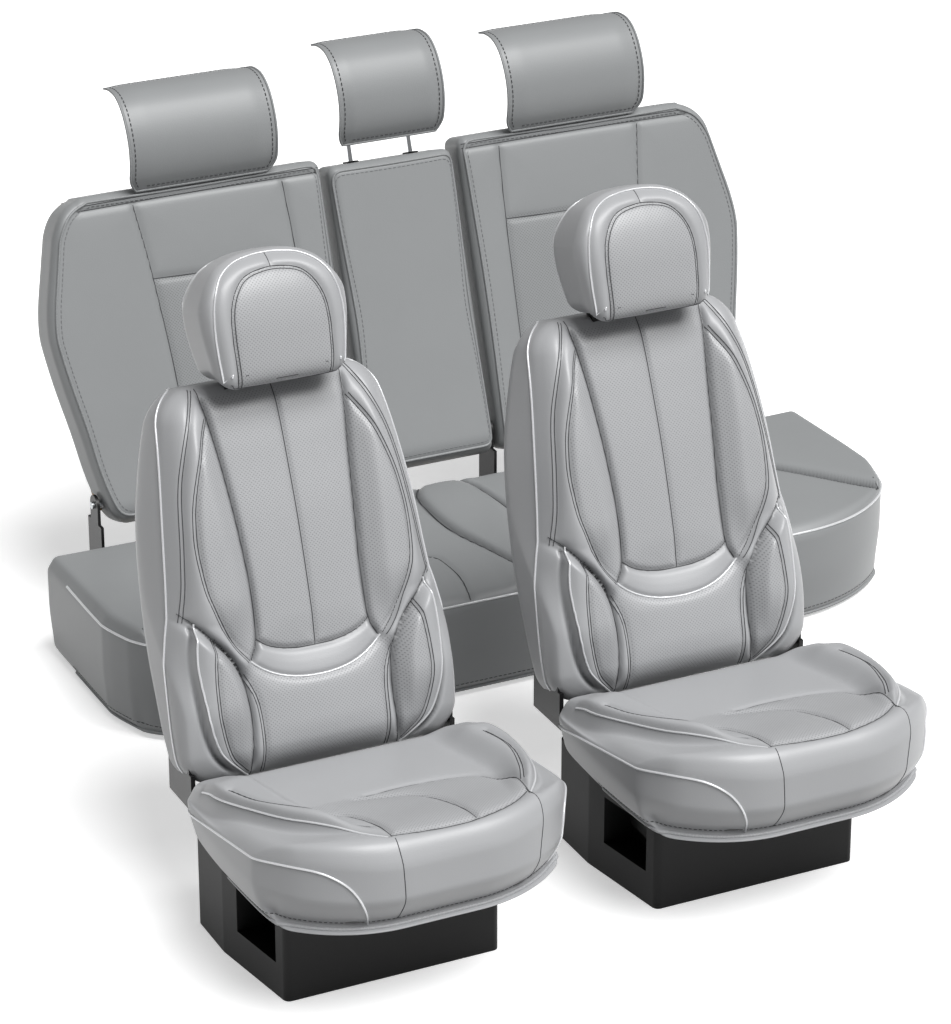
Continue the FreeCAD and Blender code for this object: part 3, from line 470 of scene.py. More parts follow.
for part in frame["record"]["subparts"]:
    mesh = nodes[part["node"]].data
    mesh.materials.clear()
    mesh.materials.append(FINISHES[part["material_slot"]])
print("finishes", len(bpy.data.materials))

# %% [markdown]
# ## The front seat's back
# A bucket seat's back has two perforated panels down the middle, a leaf-shaped perforated wing on each side,
# a smooth crescent under them, a lumbar panel, and a bolster low on each side. The seams are given for one
# side only, as the distance from the middle at each height, and the other side mirrors them.

# %% Back seams
BACK_HALF, BACK_RISE = (244, 82, 332), 264
FACE_WIDTH = table([
    (-68, 214), (0, 226), (60, 232), (120, 236), (190, 238), (250, 236), (340, 230), (430, 220),
    (500, 209), (560, 197), (596, 186),
])
PANEL_WIDTH = table([
    (-68, 250), (0, 255), (60, 256), (200, 254), (360, 244), (460, 227), (540, 208), (596, 190)
])
BACK_FRONT = table([
    (-68, 44), (-30, 58), (0, 64), (60, 67), (140, 68), (250, 70), (358, 68), (450, 60), (520, 52),
    (596, 38),
])
BACK_REAR = table([(-68, 50), (-20, 66), (60, 84), (180, 104), (300, 108), (420, 98), (520, 80), (596, 60)])
WING_START = [(116, 132), (103, 165), (100, 244), (105, 340), (114, 450), (123, 530), (130, 592)]
LEAF = [
    (122, 134), (142, 160), (158, 191), (174, 230), (184, 267), (188, 331), (184, 380), (176, 420),
    (160, 470), (146, 505), (127, 541),
]
SHOULDER = [(224, 216), (214, 270), (207, 330), (196, 420), (182, 480), (160, 540), (137, 590)]
WAIST = [
    (136, -64), (132, -20), (129, 30), (131, 70), (137, 105), (148, 135), (164, 160), (186, 185),
    (212, 215), (229, 232),
]
LUMBAR_EDGE = [(112, -62), (112, 0), (113, 40), (117, 70), (126, 95), (135, 113)]
BOLSTER_EDGE = [(140, -63), (156, -50), (180, -28), (196, -5), (210, 43), (217, 110), (217, 160), (209, 213)]
FOLD = [(166, -56), (192, -30), (207, -5), (220, 43), (226, 110), (226, 160), (216, 205)]
BOLSTER_SEAM = [(140, -55), (150, -46), (174, -17), (190, 42), (192, 88), (188, 140), (180, 182)]
YOKE_TOP = [(0, 137), (30, 138), (57, 142), (85, 152), (103, 166)]
YOKE_LOW = [(0, 88), (40, 91), (75, 101), (100, 115), (119, 131)]
MIDDLE_SEAM = [(0, 137), (0, 360), (0, 592)]


def by_height(points):
    """Reads a seam as its distance from the middle at a height."""
    return table([(z, x) for x, z in points])


WING_AT, LEAF_AT, WAIST_AT = by_height(WING_START), by_height(LEAF), by_height(WAIST)
LUMBAR_AT = by_height(LUMBAR_EDGE)
BOLSTER_AT = by_height(BOLSTER_EDGE)
BOLSTER_SEAM_AT = by_height(BOLSTER_SEAM)
YOKE_TOP_AT, YOKE_LOW_AT = table(YOKE_TOP), table(YOKE_LOW)
BACK_SEAMS = [
    (WING_START, 8, 5),
    (LEAF, 3, 5),
    (SHOULDER, 3, 5),
    (WAIST, 8, 5),
    (LUMBAR_EDGE, 2.5, 4),
    (FOLD, 10, 5),
    (BOLSTER_SEAM, 2.5, 4),
    (YOKE_TOP, 5, 5),
    (YOKE_LOW, 4, 5),
    (MIDDLE_SEAM, 3, 4),
]


# %% [markdown]
# The cube's points first go to the back's outline: its width, front and rear at each height. The wings and
# bolsters then come forward, each panel swells a little between its seams, and the seams sink.

# %% Back cover
def back_shape(q, out):
    x, y, z = q.T
    z = z + BACK_RISE
    t = y / BACK_HALF[1]
    low = 1 - ease(z, 50, 300)
    wide = FACE_WIDTH(z) + (PANEL_WIDTH(z) - FACE_WIDTH(z)) * ease(t, -0.75 - 0.25 * low, 0.35 - 1.05 * low)
    x = x * wide / BACK_HALF[0]
    front, rear = BACK_FRONT(z), BACK_REAR(z)
    y = (rear - front) / 2 + t * (rear + front) / 2
    ax = np.abs(x)
    p = np.column_stack([ax, z])
    wing = 24 * ease(ax - WING_AT(z), -6, 44) * ease(z, 140, 250) * (1 - 0.8 * ease(z, 470, 585))
    wing *= 1 - 0.8 * ease(ax, wide - 56, wide - 6)
    bolster = 30 * ease(ax - WAIST_AT(z), -3, 30) * ease(z, -45, 75) * (1 - ease(z, 185, 245))
    bolster *= 1 - 0.45 * ease(ax - BOLSTER_AT(z), 0, 9)
    belt = (
        15 * ease(ax - LEAF_AT(z), -8, 12) * ease(z, 100, 140) * (1 - ease(z, 200, 260)) * (ax < WAIST_AT(z))
    )
    lumbar = 12 * np.clip(1 - (ax / 122) ** 2, 0, 1) * ease(z, -60, 20) * (1 - ease(z, 70, 140))
    crown = 5 * np.clip(1 - (ax / 105) ** 2, 0, 1) * ease(z, 140, 200)
    swell = np.maximum(np.maximum(wing, bolster), belt) + lumbar + crown
    face = ease(-out[:, 1], 0.55, 0.98)
    rise, painted_crease_shade = sewn(p, [(smooth_line(line), depth, width) for line, depth, width in BACK_SEAMS], face)
    y = y - swell * ease(-t, -0.2, 0.9) - rise
    middle = (ax < WING_AT(z) - 2) & (z > YOKE_TOP_AT(ax) + 2) & (z < 585)
    lumbar_panel = (ax < LUMBAR_AT(z) - 1) & (z < YOKE_LOW_AT(ax) - 2)
    leaf = (ax > WING_AT(z) + 3) & (ax < LEAF_AT(z) - 2) & (z > 134) & (z < 541)
    low_leaf = (ax > WAIST_AT(z) + 3) & (ax < BOLSTER_SEAM_AT(z) - 2) & (z > -46) & (z < 200)
    marks = {"perforated": (middle | lumbar_panel | leaf | low_leaf) & (face > 0.5), "painted_crease_shade": painted_crease_shade}
    return np.column_stack([x, y, z]), np.column_stack([x, z]), marks


back_mesh = soft_mesh("seat_back", BACK_HALF, 3.8, 56, back_shape)
back_tree = tree_of(back_mesh)

# %% [markdown]
# Piping is laid on the finished face, as it is sewn on the real one: each seam's points are pushed onto the
# mesh, and a round cord is drawn through them. Dark seams are thinner cords, half sunk.

# %% Back piping and seams
FORWARD = (0, 1, 0)


def on_face(points, depth=-200):
    """Seam points (x, z) as a line ahead of the face."""
    return [(x, depth, z) for x, z in smooth_line(points)]


def offset(points, by):
    """A seam moved sideways, for the second row of a double seam."""
    line = smooth_line(points)
    along = np.gradient(line, axis=0)
    across = np.column_stack([along[:, 1], -along[:, 0]])
    return line + by * across / np.linalg.norm(across, axis=1, keepdims=True)


GUSSET_EDGE = [
    (-176, 34, 594), (-186, 14, 590), (-196, -4, 560), (-206, -20, 500), (-215, -28, 430),
    (-222, -30, 340), (-228, -26, 250), (-232, -22, 190), (-236, -16, 120), (-240, -10, 60),
    (-243, -6, 0), (-238, -4, -40),
]
back_piping = [laid(back_tree, line, inward(30), 0.8) for line in mirrored([smooth_line(GUSSET_EDGE)])]
for seam in (BOLSTER_EDGE,):
    back_piping += [laid(back_tree, line, FORWARD, 0.6) for line in mirrored([on_face(seam)])]
low = [(-x, z) for x, z in YOKE_LOW[:0:-1]] + YOKE_LOW
back_piping.append(laid(back_tree, on_face(low), FORWARD, 0.4))
back_piping_mesh = cord_mesh("seat_back_piping", back_piping, 1.8)
back_seams = []
top = [(-x, z) for x, z in YOKE_TOP[:0:-1]] + YOKE_TOP
for seam in (WING_START, WAIST, LEAF, SHOULDER, LUMBAR_EDGE, BOLSTER_SEAM):
    back_seams += [laid(back_tree, line, FORWARD, 0.1) for line in mirrored([on_face(seam)])]
for seam in (top, MIDDLE_SEAM):
    back_seams.append(laid(back_tree, on_face(seam), FORWARD, 0.1))
for seam in (LEAF, SHOULDER, BOLSTER_SEAM, LUMBAR_EDGE):
    back_seams += [laid(back_tree, line, FORWARD, 0.1) for line in mirrored([on_face(offset(seam, 5))])]
back_seam_mesh = cord_mesh("seat_back_seams", back_seams, 0.8, sides=1)

for side in SIDES:
    place, body = BACK_AT[side], f"back_{side}"
    show(
        f"seat_back_cover_{side}", back_mesh, place, body, FRONT_SKIN,
        (f"back_cover_{side}", f"back_foam_{side}"),
    )
    show(f"seat_back_piping_{side}", back_piping_mesh, place, body, PIPING)
    show(f"seat_back_seams_{side}", back_seam_mesh, place, body, THREAD)
print("back piping runs", len(back_piping), "seams", len(back_seams))

# %% [markdown]
# ## The front headrest
# The headrest cover is a rounded hood: a perforated inner arch, a smooth band round it with a short seam at
# its top, silver piping where the band meets the plain side panels, and piping down its rear corners.

# %% Headrest cover
HEAD_HALF = (131, 68, 104)
HEAD_WIDTH = table([(600, 114), (625, 119), (665, 127), (704, 131), (750, 129), (808, 122)])
HEAD_DROP = table([(0, 0), (40, 2), (70, 9), (95, 22), (115, 42), (131, 64)])
HEAD_FRONT = table([(600, -114), (640, -124), (690, -128), (740, -124), (780, -113), (808, -100)])
HEAD_REAR = table([(600, 2), (650, 7), (704, 8), (760, 0), (808, -18)])
ARCH = [(84, 584), (87, 640), (87, 690), (81, 725), (65, 755), (42, 772), (0, 779)]
BAND_EDGE = [(106, 583), (113, 650), (114, 700), (107, 740), (90, 772), (62, 792), (30, 800), (0, 802)]
ARCH_SHAPE = np.array([(x, z) for x, z in smooth_line(ARCH)] + [(-x, z) for x, z in smooth_line(ARCH)[::-1]])


def head_shape(q, out):
    x, y, z = q.T
    frac = z / (2 * HEAD_HALF[2]) + 0.5
    z = 600 + frac * (208 - HEAD_DROP(np.abs(x)))
    x = x * HEAD_WIDTH(z) / HEAD_HALF[0]
    t = y / HEAD_HALF[1]
    front, rear = HEAD_FRONT(z), HEAD_REAR(z)
    y = (rear + front) / 2 + t * (rear - front) / 2
    ax = np.abs(x)
    p = np.column_stack([ax, z])
    face = ease(-out[:, 1], 0.4, 0.95)
    short = np.array([(0, 779.0), (0, 800.0)])
    seams = [(smooth_line(ARCH), 3.0, 4.5), (smooth_line(BAND_EDGE), 2.0, 4.0), (short, 2.0, 4.0)]
    rise, painted_crease_shade = sewn(p, seams, face, puff=4.5, spread=20)
    y = y - rise - 3 * np.clip(1 - (ax / 100) ** 2, 0, 1) * face
    z = z - 24 * ease(-t, 0.2, 1.0) * (1 - ease(z, 600, 670))
    marks = {"perforated": inside(np.column_stack([x, z]), ARCH_SHAPE) & (face > 0.5), "painted_crease_shade": painted_crease_shade}
    return np.column_stack([x, y, z]), np.column_stack([x, z]), marks


head_mesh = soft_mesh("headrest", HEAD_HALF, 4.0, 36, head_shape)
head_tree = tree_of(head_mesh)
band = [(-x, z) for x, z in BAND_EDGE[:-1]] + BAND_EDGE[::-1]
arch = [(-x, z) for x, z in ARCH[:-1]] + ARCH[::-1]
REAR_CORNER = [
    (-112, 0, 603), (-124, 2, 650), (-129, 2, 704), (-126, -6, 744), (-110, -16, 780),
    (-84, -22, 798), (-40, -24, 806), (0, -24, 807),
]
head_piping = [laid(head_tree, on_face(band), FORWARD, 0.8)]
head_piping += [laid(head_tree, line, inward(-60, 690), 0.6) for line in mirrored([smooth_line(REAR_CORNER)])]
head_piping_mesh = cord_mesh("headrest_piping", head_piping, 1.7)
head_seams = [
    laid(head_tree, on_face(arch), FORWARD, 0.1), laid(head_tree, on_face(offset(arch, 5)), FORWARD, 0.1)
]
head_seams.append(laid(head_tree, on_face([(0, 779), (0, 790), (0, 801)]), FORWARD, 0.1))
skirt = [(-104, -118, 590), (-60, -124, 588), (0, -127, 587), (60, -124, 588), (104, -118, 590)]
head_seams.append(laid(head_tree, smooth_line(skirt), FORWARD, 0.1))
head_seam_mesh = cord_mesh("headrest_seams", head_seams, 0.8, sides=1)

for side in SIDES:
    place, body = BACK_AT[side], f"headrest_{side}"
    show(
        f"headrest_hood_{side}", head_mesh, place, body, FRONT_SKIN,
        (f"headrest_cover_{side}", f"headrest_foam_{side}"),
    )
    show(f"headrest_piping_{side}", head_piping_mesh, place, body, PIPING)
    show(f"headrest_seams_{side}", head_seam_mesh, place, body, THREAD)

# %% [markdown]
# ## The front cushion
# The cushion's nose is round in plan, so the box's front face is bent back towards its sides. The wings rise
# on both sides of the perforated panels, and the skirt hangs in front and at the sides down to its hem.

# %% Cushion seams
SEAT_HALF, SEAT_RISE = (278, 235, 86), 298
NOSE_START, NOSE_REACH, NOSE_DEPTH = 70, 222, 200
SEAT_WIDTH = table([
    (0, 0.93), (100, 0.97), (170, 1.01), (300, 1.025), (400, 1.01), (440, 0.985), (470, 0.94)
])
SEAT_TOP = table([(0, 372), (30, 380), (80, 375), (160, 356), (260, 337), (380, 317), (470, 302)])
PANEL_LEFT = [(-175, 240), (-168, 206), (-140, 192), (-108, 182), (-90, 145), (-84, 95), (-84, 44)]
PANEL_FRONT = [(-84, 44), (-20, 34), (53, 33), (120, 50), (175, 83)]
PANEL_RIGHT = [(-37, 246), (30, 250), (101, 242), (150, 224), (172, 190), (182, 145), (178, 84)]
PANEL_SPLIT = [(-60, 236), (-20, 222), (25, 203), (50, 165), (60, 110), (63, 40)]
WING_LEFT = [(-262, 400), (-258, 330), (-238, 262), (-200, 168), (-148, 105), (-90, 44)]
WING_LEFT_SEAM = [(-240, 330), (-222, 262), (-186, 200), (-140, 140), (-96, 96)]
WING_RIGHT = [(250, 400), (256, 330), (250, 262), (234, 190), (208, 120), (178, 78)]
WING_RIGHT_SEAM = [(226, 340), (230, 280), (222, 220), (204, 160), (188, 120)]
SEAT_SEAMS = [
    (PANEL_LEFT, 3, 4.5),
    (PANEL_FRONT, 3, 4.5),
    (PANEL_RIGHT, 3, 4.5),
    (PANEL_SPLIT, 3, 4.5),
    (WING_LEFT, 4, 6),
    (WING_LEFT_SEAM, 2.5, 4),
    (WING_RIGHT, 4, 6),
    (WING_RIGHT_SEAM, 2.5, 4),
]
WING_LEFT_AT = table([(y, -x) for x, y in WING_LEFT[::-1]])
WING_RIGHT_AT = table([(y, x) for x, y in WING_RIGHT[::-1]])
PERFORATED_SEAT = np.vstack([
    smooth_line(PANEL_LEFT), smooth_line(PANEL_FRONT), smooth_line(PANEL_RIGHT)[::-1]
])


def nose_curve(ax, start, reach, depth):
    """How far back the front face is at a distance from the middle: straight, then round like an ellipse."""
    u = np.clip((ax - start) / reach, 0, 1)
    return depth * (1 - np.sqrt(1 - u * u))


# %% Cushion cover
def seat_shape(q, out):
    x, y, z = q.T
    y, z = y + SEAT_HALF[1], z + SEAT_RISE
    nose = nose_curve(np.abs(x), NOSE_START, NOSE_REACH, NOSE_DEPTH)
    y = nose + y / 470 * (470 - nose)
    x = x * SEAT_WIDTH(y)
    z = 212 + (z - 212) / 172 * (SEAT_TOP(y) - 212)
    p = np.column_stack([x, y])
    face = ease(out[:, 2], 0.45, 0.95)
    shift = 30 * (1 - y / 470)
    edge = np.where(x < 0, WING_LEFT_AT(y), WING_RIGHT_AT(y))
    inner = 118 + 44 * ease(y, 40, 240) + np.where(x < 0, -shift, shift)
    wing = 32 * ease(y, 44, 160) * ease(np.abs(x) - inner, -4, 46) * (1 - ease(np.abs(x) - edge, -8, 14))
    wing *= 1 - 0.75 * ease(y, 360, 455)
    outside = -4 * ease(np.abs(x) - edge, 0, 12) * ease(y, 40, 120)
    outside = outside - 14 * ease(np.abs(x) - edge, 0, 26) * ease(y, 200, 420)
    rise, painted_crease_shade = sewn(p, [(smooth_line(line), depth, width) for line, depth, width in SEAT_SEAMS], face)
    z = z + (wing + outside) * ease(out[:, 2], 0.2, 0.9) + rise
    tuck = 1 - ease(z, 212, 290)
    y = y + 38 * tuck * ease(-out[:, 1], 0.2, 0.9)
    x = x - np.sign(x) * 14 * tuck * ease(np.abs(out[:, 0]), 0.2, 0.9)
    marks = {"perforated": inside(p, PERFORATED_SEAT) & (face > 0.6), "painted_crease_shade": painted_crease_shade}
    return np.column_stack([x, y, z]), p, marks


seat_mesh = soft_mesh("seat_cushion", SEAT_HALF, 3.6, 38, seat_shape)
seat_tree = tree_of(seat_mesh)

# %% [markdown]
# The side panel's piping starts low at the rear, runs along the cushion's top edge and turns down the nose.
# Two upright seams join the nose panel to its neighbours. The hem is a turned edge with a row of stitches.

# %% Cushion piping, seams and hem
DOWN = (0, 0, -1)
SIDE_EDGE_LEFT = [
    (-270, 446, 270), (-276, 343, 298), (-272, 240, 318), (-262, 160, 331), (-236, 90, 340),
    (-205, 48, 337), (-176, 20, 318), (-156, 8, 290), (-145, 8, 258), (-141, 14, 226),
]
SIDE_EDGE_RIGHT = [
    (270, 446, 270), (276, 343, 300), (274, 240, 320), (266, 160, 332), (250, 112, 334),
    (240, 88, 312), (234, 80, 280), (230, 86, 228),
]
NOSE_LEFT = [(-84, 44, 384), (-85, 12, 372), (-83, 0, 340), (-80, 2, 290), (-79, 16, 228)]
NOSE_RIGHT = [(176, 82, 384), (180, 50, 372), (178, 32, 340), (172, 30, 290), (168, 44, 228)]


def on_top(points):
    return [(x, y, 500) for x, y in smooth_line(points)]


seat_piping = [
    laid(seat_tree, smooth_line(line), inward(330), 0.8) for line in (SIDE_EDGE_LEFT, SIDE_EDGE_RIGHT)
]
seat_piping += [laid(seat_tree, on_top(line), DOWN, 0.6) for line in (WING_LEFT, WING_RIGHT)]
seat_piping_mesh = cord_mesh("seat_cushion_piping", seat_piping, 1.8)
seat_seams = [
    laid(seat_tree, on_top(line), DOWN, 0.1) for line in (PANEL_LEFT, PANEL_FRONT, PANEL_RIGHT, PANEL_SPLIT)
]
for seam in (WING_LEFT_SEAM, WING_RIGHT_SEAM):
    seat_seams += [laid(seat_tree, on_top(line), DOWN, 0.1) for line in (seam, offset(seam, 5))]
seat_seams += [
    laid(seat_tree, smooth_line(line), lambda p: (0, 1, (240 - p[2]) / 260), 0.1)
    for line in (NOSE_LEFT, NOSE_RIGHT)
]
seat_seam_mesh = cord_mesh("seat_cushion_seams", seat_seams, 0.8, sides=1)


def skirt_line(tree, height, half_width, depth):
    """A line round a skirt at one height: up the left side, round the nose and down the right side."""
    angles = np.linspace(math.radians(-8), math.radians(188), 220)
    line = []
    for a in angles[::-1]:
        way = Vector((-math.cos(a), math.sin(a), 0))
        middle = Vector((0, depth * 0.55, height))
        hit = tree.ray_cast(middle - way * 2 * half_width, way)
        if hit[0] is not None:
            line.append(hit[0] + hit[1] * 0.3)
    return line


hem_line = skirt_line(seat_tree, 219, 278, 470)
hem_mesh = cord_mesh("seat_hem", [hem_line], 3.2)
stitch_mesh = cord_mesh("seat_hem_stitches", stitches(skirt_line(seat_tree, 231, 278, 470)), 0.8, sides=0)

for side in SIDES:
    place, body = CUSHION_AT[side], f"seat_{side}"
    show(
        f"seat_cushion_cover_{side}", seat_mesh, place, body, FRONT_SKIN,
        (f"cushion_cover_{side}", f"cushion_foam_{side}"),
    )
    show(f"seat_cushion_piping_{side}", seat_piping_mesh, place, body, PIPING)
    show(f"seat_cushion_seams_{side}", seat_seam_mesh, place, body, THREAD)
    show(f"seat_hem_{side}", hem_mesh, place, body, FRONT_BINDING)
    show(f"seat_hem_stitches_{side}", stitch_mesh, place, body, THREAD)

# %% [markdown]
# ## The bench cushion
# The bench cover is one long rounded block with big corners in plan, piping round its top edge, a tall skirt
# to the floor and a stitched hem. Its top has perforated insets and a raised band at each end.

# %% Bench cover
BENCH_HALF, BENCH_RISE = (830, 260, 103), 111
BENCH_START, BENCH_REACH, BENCH_DEPTH = 570, 276, 190
BENCH_WIDTH = table([(0, 0.945), (100, 0.96), (200, 0.995), (260, 1.0), (520, 1.0)])
BENCH_TOP = table([(0, 204), (50, 211), (250, 214), (520, 206)])
END_SEAM = [(500, 515), (550, 400), (610, 310), (685, 215), (745, 140), (792, 92)]
INSET_EDGE = [(255, 515), (262, 380), (270, 240), (340, 190), (430, 180), (520, 205), (575, 300)]
CENTRE_BAND = [(40, 515), (66, 457), (73, 304), (49, 175), (25, 84), (0, 60)]
PLAIN_SEAM = [(270, 240), (200, 205), (157, 190), (150, 100), (168, 12)]
BENCH_SEAMS = [(END_SEAM, 8, 7), (INSET_EDGE, 3, 5), (CENTRE_BAND, 8, 7), (PLAIN_SEAM, 3, 5)]
END_AT = table([(y, x) for x, y in END_SEAM[::-1]])
INSET_SHAPE = np.vstack([smooth_line(INSET_EDGE), [(520, 400), (470, 515)]])


def bench_shape(q, out):
    x, y, z = q.T
    y, z = y + BENCH_HALF[1], z + BENCH_RISE
    nose = nose_curve(np.abs(x), BENCH_START, BENCH_REACH, BENCH_DEPTH)
    y = nose + y / 520 * (520 - nose)
    x = x * BENCH_WIDTH(y)
    z = 8 + (z - 8) / 206 * (BENCH_TOP(y) - 8)
    ax = np.abs(x)
    p = np.column_stack([ax, y])
    face = ease(out[:, 2], 0.6, 0.98)
    rise, painted_crease_shade = sewn(
        p, [(smooth_line(line), depth, width) for line, depth, width in BENCH_SEAMS], face, 4, 25
    )
    band = 7 * ease(ax - END_AT(y), -8, 30) + 6 * (1 - ease(ax, 40, 90))
    z = z + rise + band * face - 4 * face
    tuck = 1 - ease(z, 8, 120)
    y = y + 9 * tuck * ease(-out[:, 1], 0.2, 0.9)
    x = x - np.sign(x) * 7 * tuck * ease(np.abs(out[:, 0]), 0.2, 0.9)
    marks = {"perforated": inside(p, INSET_SHAPE) & (face > 0.6), "painted_crease_shade": painted_crease_shade}
    return np.column_stack([x, y, z]), np.column_stack([x, y]), marks


bench_mesh = soft_mesh("bench", BENCH_HALF, 6.0, 24, bench_shape)
bench_tree = tree_of(bench_mesh)
bench_edge = skirt_line(bench_tree, 196, 830, 520)
bench_piping_mesh = cord_mesh("bench_piping", [bench_edge], 2.4)
bench_seams = []
for seam in (END_SEAM, INSET_EDGE, CENTRE_BAND, PLAIN_SEAM):
    bench_seams += [laid(bench_tree, line, DOWN, 0.1) for line in mirrored([on_top(seam)])]
bench_seam_mesh = cord_mesh("bench_seams", bench_seams, 1.0, sides=1)
bench_hem_mesh = cord_mesh("bench_hem", [skirt_line(bench_tree, 13, 830, 520)], 3.5)
bench_stitch_mesh = cord_mesh(
    "bench_stitches", stitches(skirt_line(bench_tree, 27, 830, 520), 6, 4), 0.8, sides=0
)

show(
    "bench_cushion_cover", bench_mesh, BENCH_AT, "floor_units", REAR_SKIN,
    ("bench_cover", "bench_foam"),
)
show("bench_piping", bench_piping_mesh, BENCH_AT, "floor_units", PIPING)
show("bench_seams", bench_seam_mesh, BENCH_AT, "floor_units", THREAD)
show("bench_hem", bench_hem_mesh, BENCH_AT, "floor_units", REAR_BINDING)
show("bench_hem_stitches", bench_stitch_mesh, BENCH_AT, "floor_units", THREAD)

# %% [markdown]
# ## The rear backs
# Two wide backs with a rounded outer side and a plain narrow one between them. Each wide one has two upright
# seams, a level seam with a perforated panel under it, and a double seam where the top flap folds over.
# The outline is bound with a narrow strip and stitched all round.

# %% Side backs
SIDE_HALF = (302.5, 45, 317.5)
SIDE_OUTER = table([
    (-45, 664), (-20, 682), (20, 696), (70, 708), (140, 720), (230, 738), (300, 749), (340, 752),
    (390, 746), (450, 732), (520, 715), (590, 698),
])
SIDE_DROP = table([(150, 7), (162, 2), (180, 0), (668, 0), (705, 4), (728, 14), (744, 30), (755, 52)])
INNER_SEAM = [(222, -20), (224, 200), (229, 420), (236, 560)]
OUTER_SEAM = [(508, -20), (513, 200), (530, 420), (548, 560)]
LEVEL_SEAM = [(229, 414), (380, 410), (530, 414)]
PANEL_SEAM = [(380, 410), (379, 200), (378, -20)]
FLAP_SEAM = [(156, 566), (400, 567), (660, 564)]
SIDE_SEAMS = [
    (INNER_SEAM, 3, 5), (OUTER_SEAM, 3, 5), (LEVEL_SEAM, 3, 5), (PANEL_SEAM, 2.5, 4), (FLAP_SEAM, 4, 5)
]
SIDE_PANEL = np.vstack([smooth_line(INNER_SEAM[:3]), [(530, 414), (513, 200), (508, -20)]])


def side_shape(q, out):
    x, y, z = q.T
    x = x + 452.5
    top = 590 - SIDE_DROP(x)
    z = -45 + (z + SIDE_HALF[2]) / 635 * (top + 45)
    x = 150 + (x - 150) / 605 * (SIDE_OUTER(z) - 150)
    p = np.column_stack([x, z])
    face = ease(-out[:, 1], 0.6, 0.98)
    rise, painted_crease_shade = sewn(
        p, [(smooth_line(line), depth, width) for line, depth, width in SIDE_SEAMS], face, 3, 25
    )
    low = np.sqrt(np.clip(1 - (np.clip(-z, 0, 45) / 50) ** 2, 0, 1))
    y = y * low - rise
    marks = {"perforated": inside(p, SIDE_PANEL) & (face > 0.6), "painted_crease_shade": painted_crease_shade}
    return np.column_stack([x, y, z]), p, marks


side_mesh = soft_mesh("side_back", SIDE_HALF, 6.0, 20, side_shape)
side_tree = tree_of(side_mesh)


def rim(tree, middle, inset, reach, turn=360):
    """A line on a back's front face that follows its outline, inset from the edge."""
    line = []
    for a in np.radians(np.linspace(0, turn, 260)):
        way = Vector((-math.cos(a), 0, -math.sin(a)))
        hit = tree.ray_cast(Vector((middle[0], -26, middle[1])) - way * reach, way)
        edge = hit[0] + way * inset
        line.append(Vector((edge.x, -100, edge.z)))
    return laid(tree, line, FORWARD, 0.5)


side_binding_mesh = cord_mesh("side_binding", [rim(side_tree, (450, 270), 13, 900)], 2.6)
side_stitch_mesh = cord_mesh(
    "side_stitches", stitches(rim(side_tree, (450, 270), 22, 900), 6, 4), 0.8, sides=0
)
side_seams = [
    laid(side_tree, on_face(line), FORWARD, 0.1)
    for line in (INNER_SEAM, OUTER_SEAM, LEVEL_SEAM, PANEL_SEAM, FLAP_SEAM)
]
side_seams.append(laid(side_tree, on_face([(x, z + 9) for x, z in FLAP_SEAM]), FORWARD, 0.1))
side_seam_mesh = cord_mesh("side_seams", side_seams, 0.9, sides=1)


def flipped(mesh):
    """The mirror image across the bench's middle, with its faces turned the right way again."""
    copy = mesh.copy()
    bm = bmesh.new()
    bm.from_mesh(copy)
    bmesh.ops.scale(bm, vec=(-1, 1, 1), verts=bm.verts)
    bmesh.ops.reverse_faces(bm, faces=bm.faces)
    bm.to_mesh(copy)
    bm.free()
    return copy


for side, turn in (("left", flipped), ("right", lambda mesh: mesh)):
    body = f"rear_back_{side}"
    show(
        f"rear_back_cover_{side}", turn(side_mesh), REAR_AT, body, REAR_SKIN,
        (f"rear_{side}_cover", f"rear_{side}_foam"),
    )
    show(
        f"rear_back_binding_{side}", turn(side_binding_mesh), REAR_AT, body,
        REAR_BINDING,
    )
    show(f"rear_back_seams_{side}", turn(side_seam_mesh), REAR_AT, body, THREAD)
    show(f"rear_back_stitches_{side}", turn(side_stitch_mesh), REAR_AT, body, PALE_THREAD)

# %% [markdown]
# The middle back is one plain panel, bound all round.

# %% Middle back
MID_HALF = (134, 45, 308.5)


def middle_shape(q, out):
    x, y, z = q.T
    z = z + 263.5
    p = np.column_stack([x, z])
    face = ease(-out[:, 1], 0.6, 0.98)
    low = np.sqrt(np.clip(1 - (np.clip(-z, 0, 45) / 50) ** 2, 0, 1))
    y = y * low - 3 * np.clip(1 - (x / 134) ** 2, 0, 1) * face
    none = np.zeros(len(x))
    return np.column_stack([x, y, z]), p, {"perforated": none, "painted_crease_shade": none}


middle_mesh = soft_mesh("middle_back", MID_HALF, 6.0, 18, middle_shape)
middle_tree = tree_of(middle_mesh)
middle_binding_mesh = cord_mesh("middle_binding", [rim(middle_tree, (0, 265), 12, 600)], 2.6)
middle_stitch_mesh = cord_mesh(
    "middle_stitches", stitches(rim(middle_tree, (0, 265), 21, 600), 6, 4), 0.8, sides=0
)
body = "rear_back_middle"
show(
    "rear_back_cover_middle", middle_mesh, REAR_AT, body, REAR_SKIN,
    ("rear_middle_cover", "rear_middle_foam"),
)
show("rear_back_binding_middle", middle_binding_mesh, REAR_AT, body, REAR_BINDING)
show("rear_back_stitches_middle", middle_stitch_mesh, REAR_AT, body, PALE_THREAD)

# %% [markdown]
# ## The rear headrest covers
# Each is one sheet of leatherette, bent forward over its hoop and open behind. A flat grid is bent along the
# side profile, its corners are rounded, and a solidify step gives it its 3 mm. The edge is bound and
# stitched.

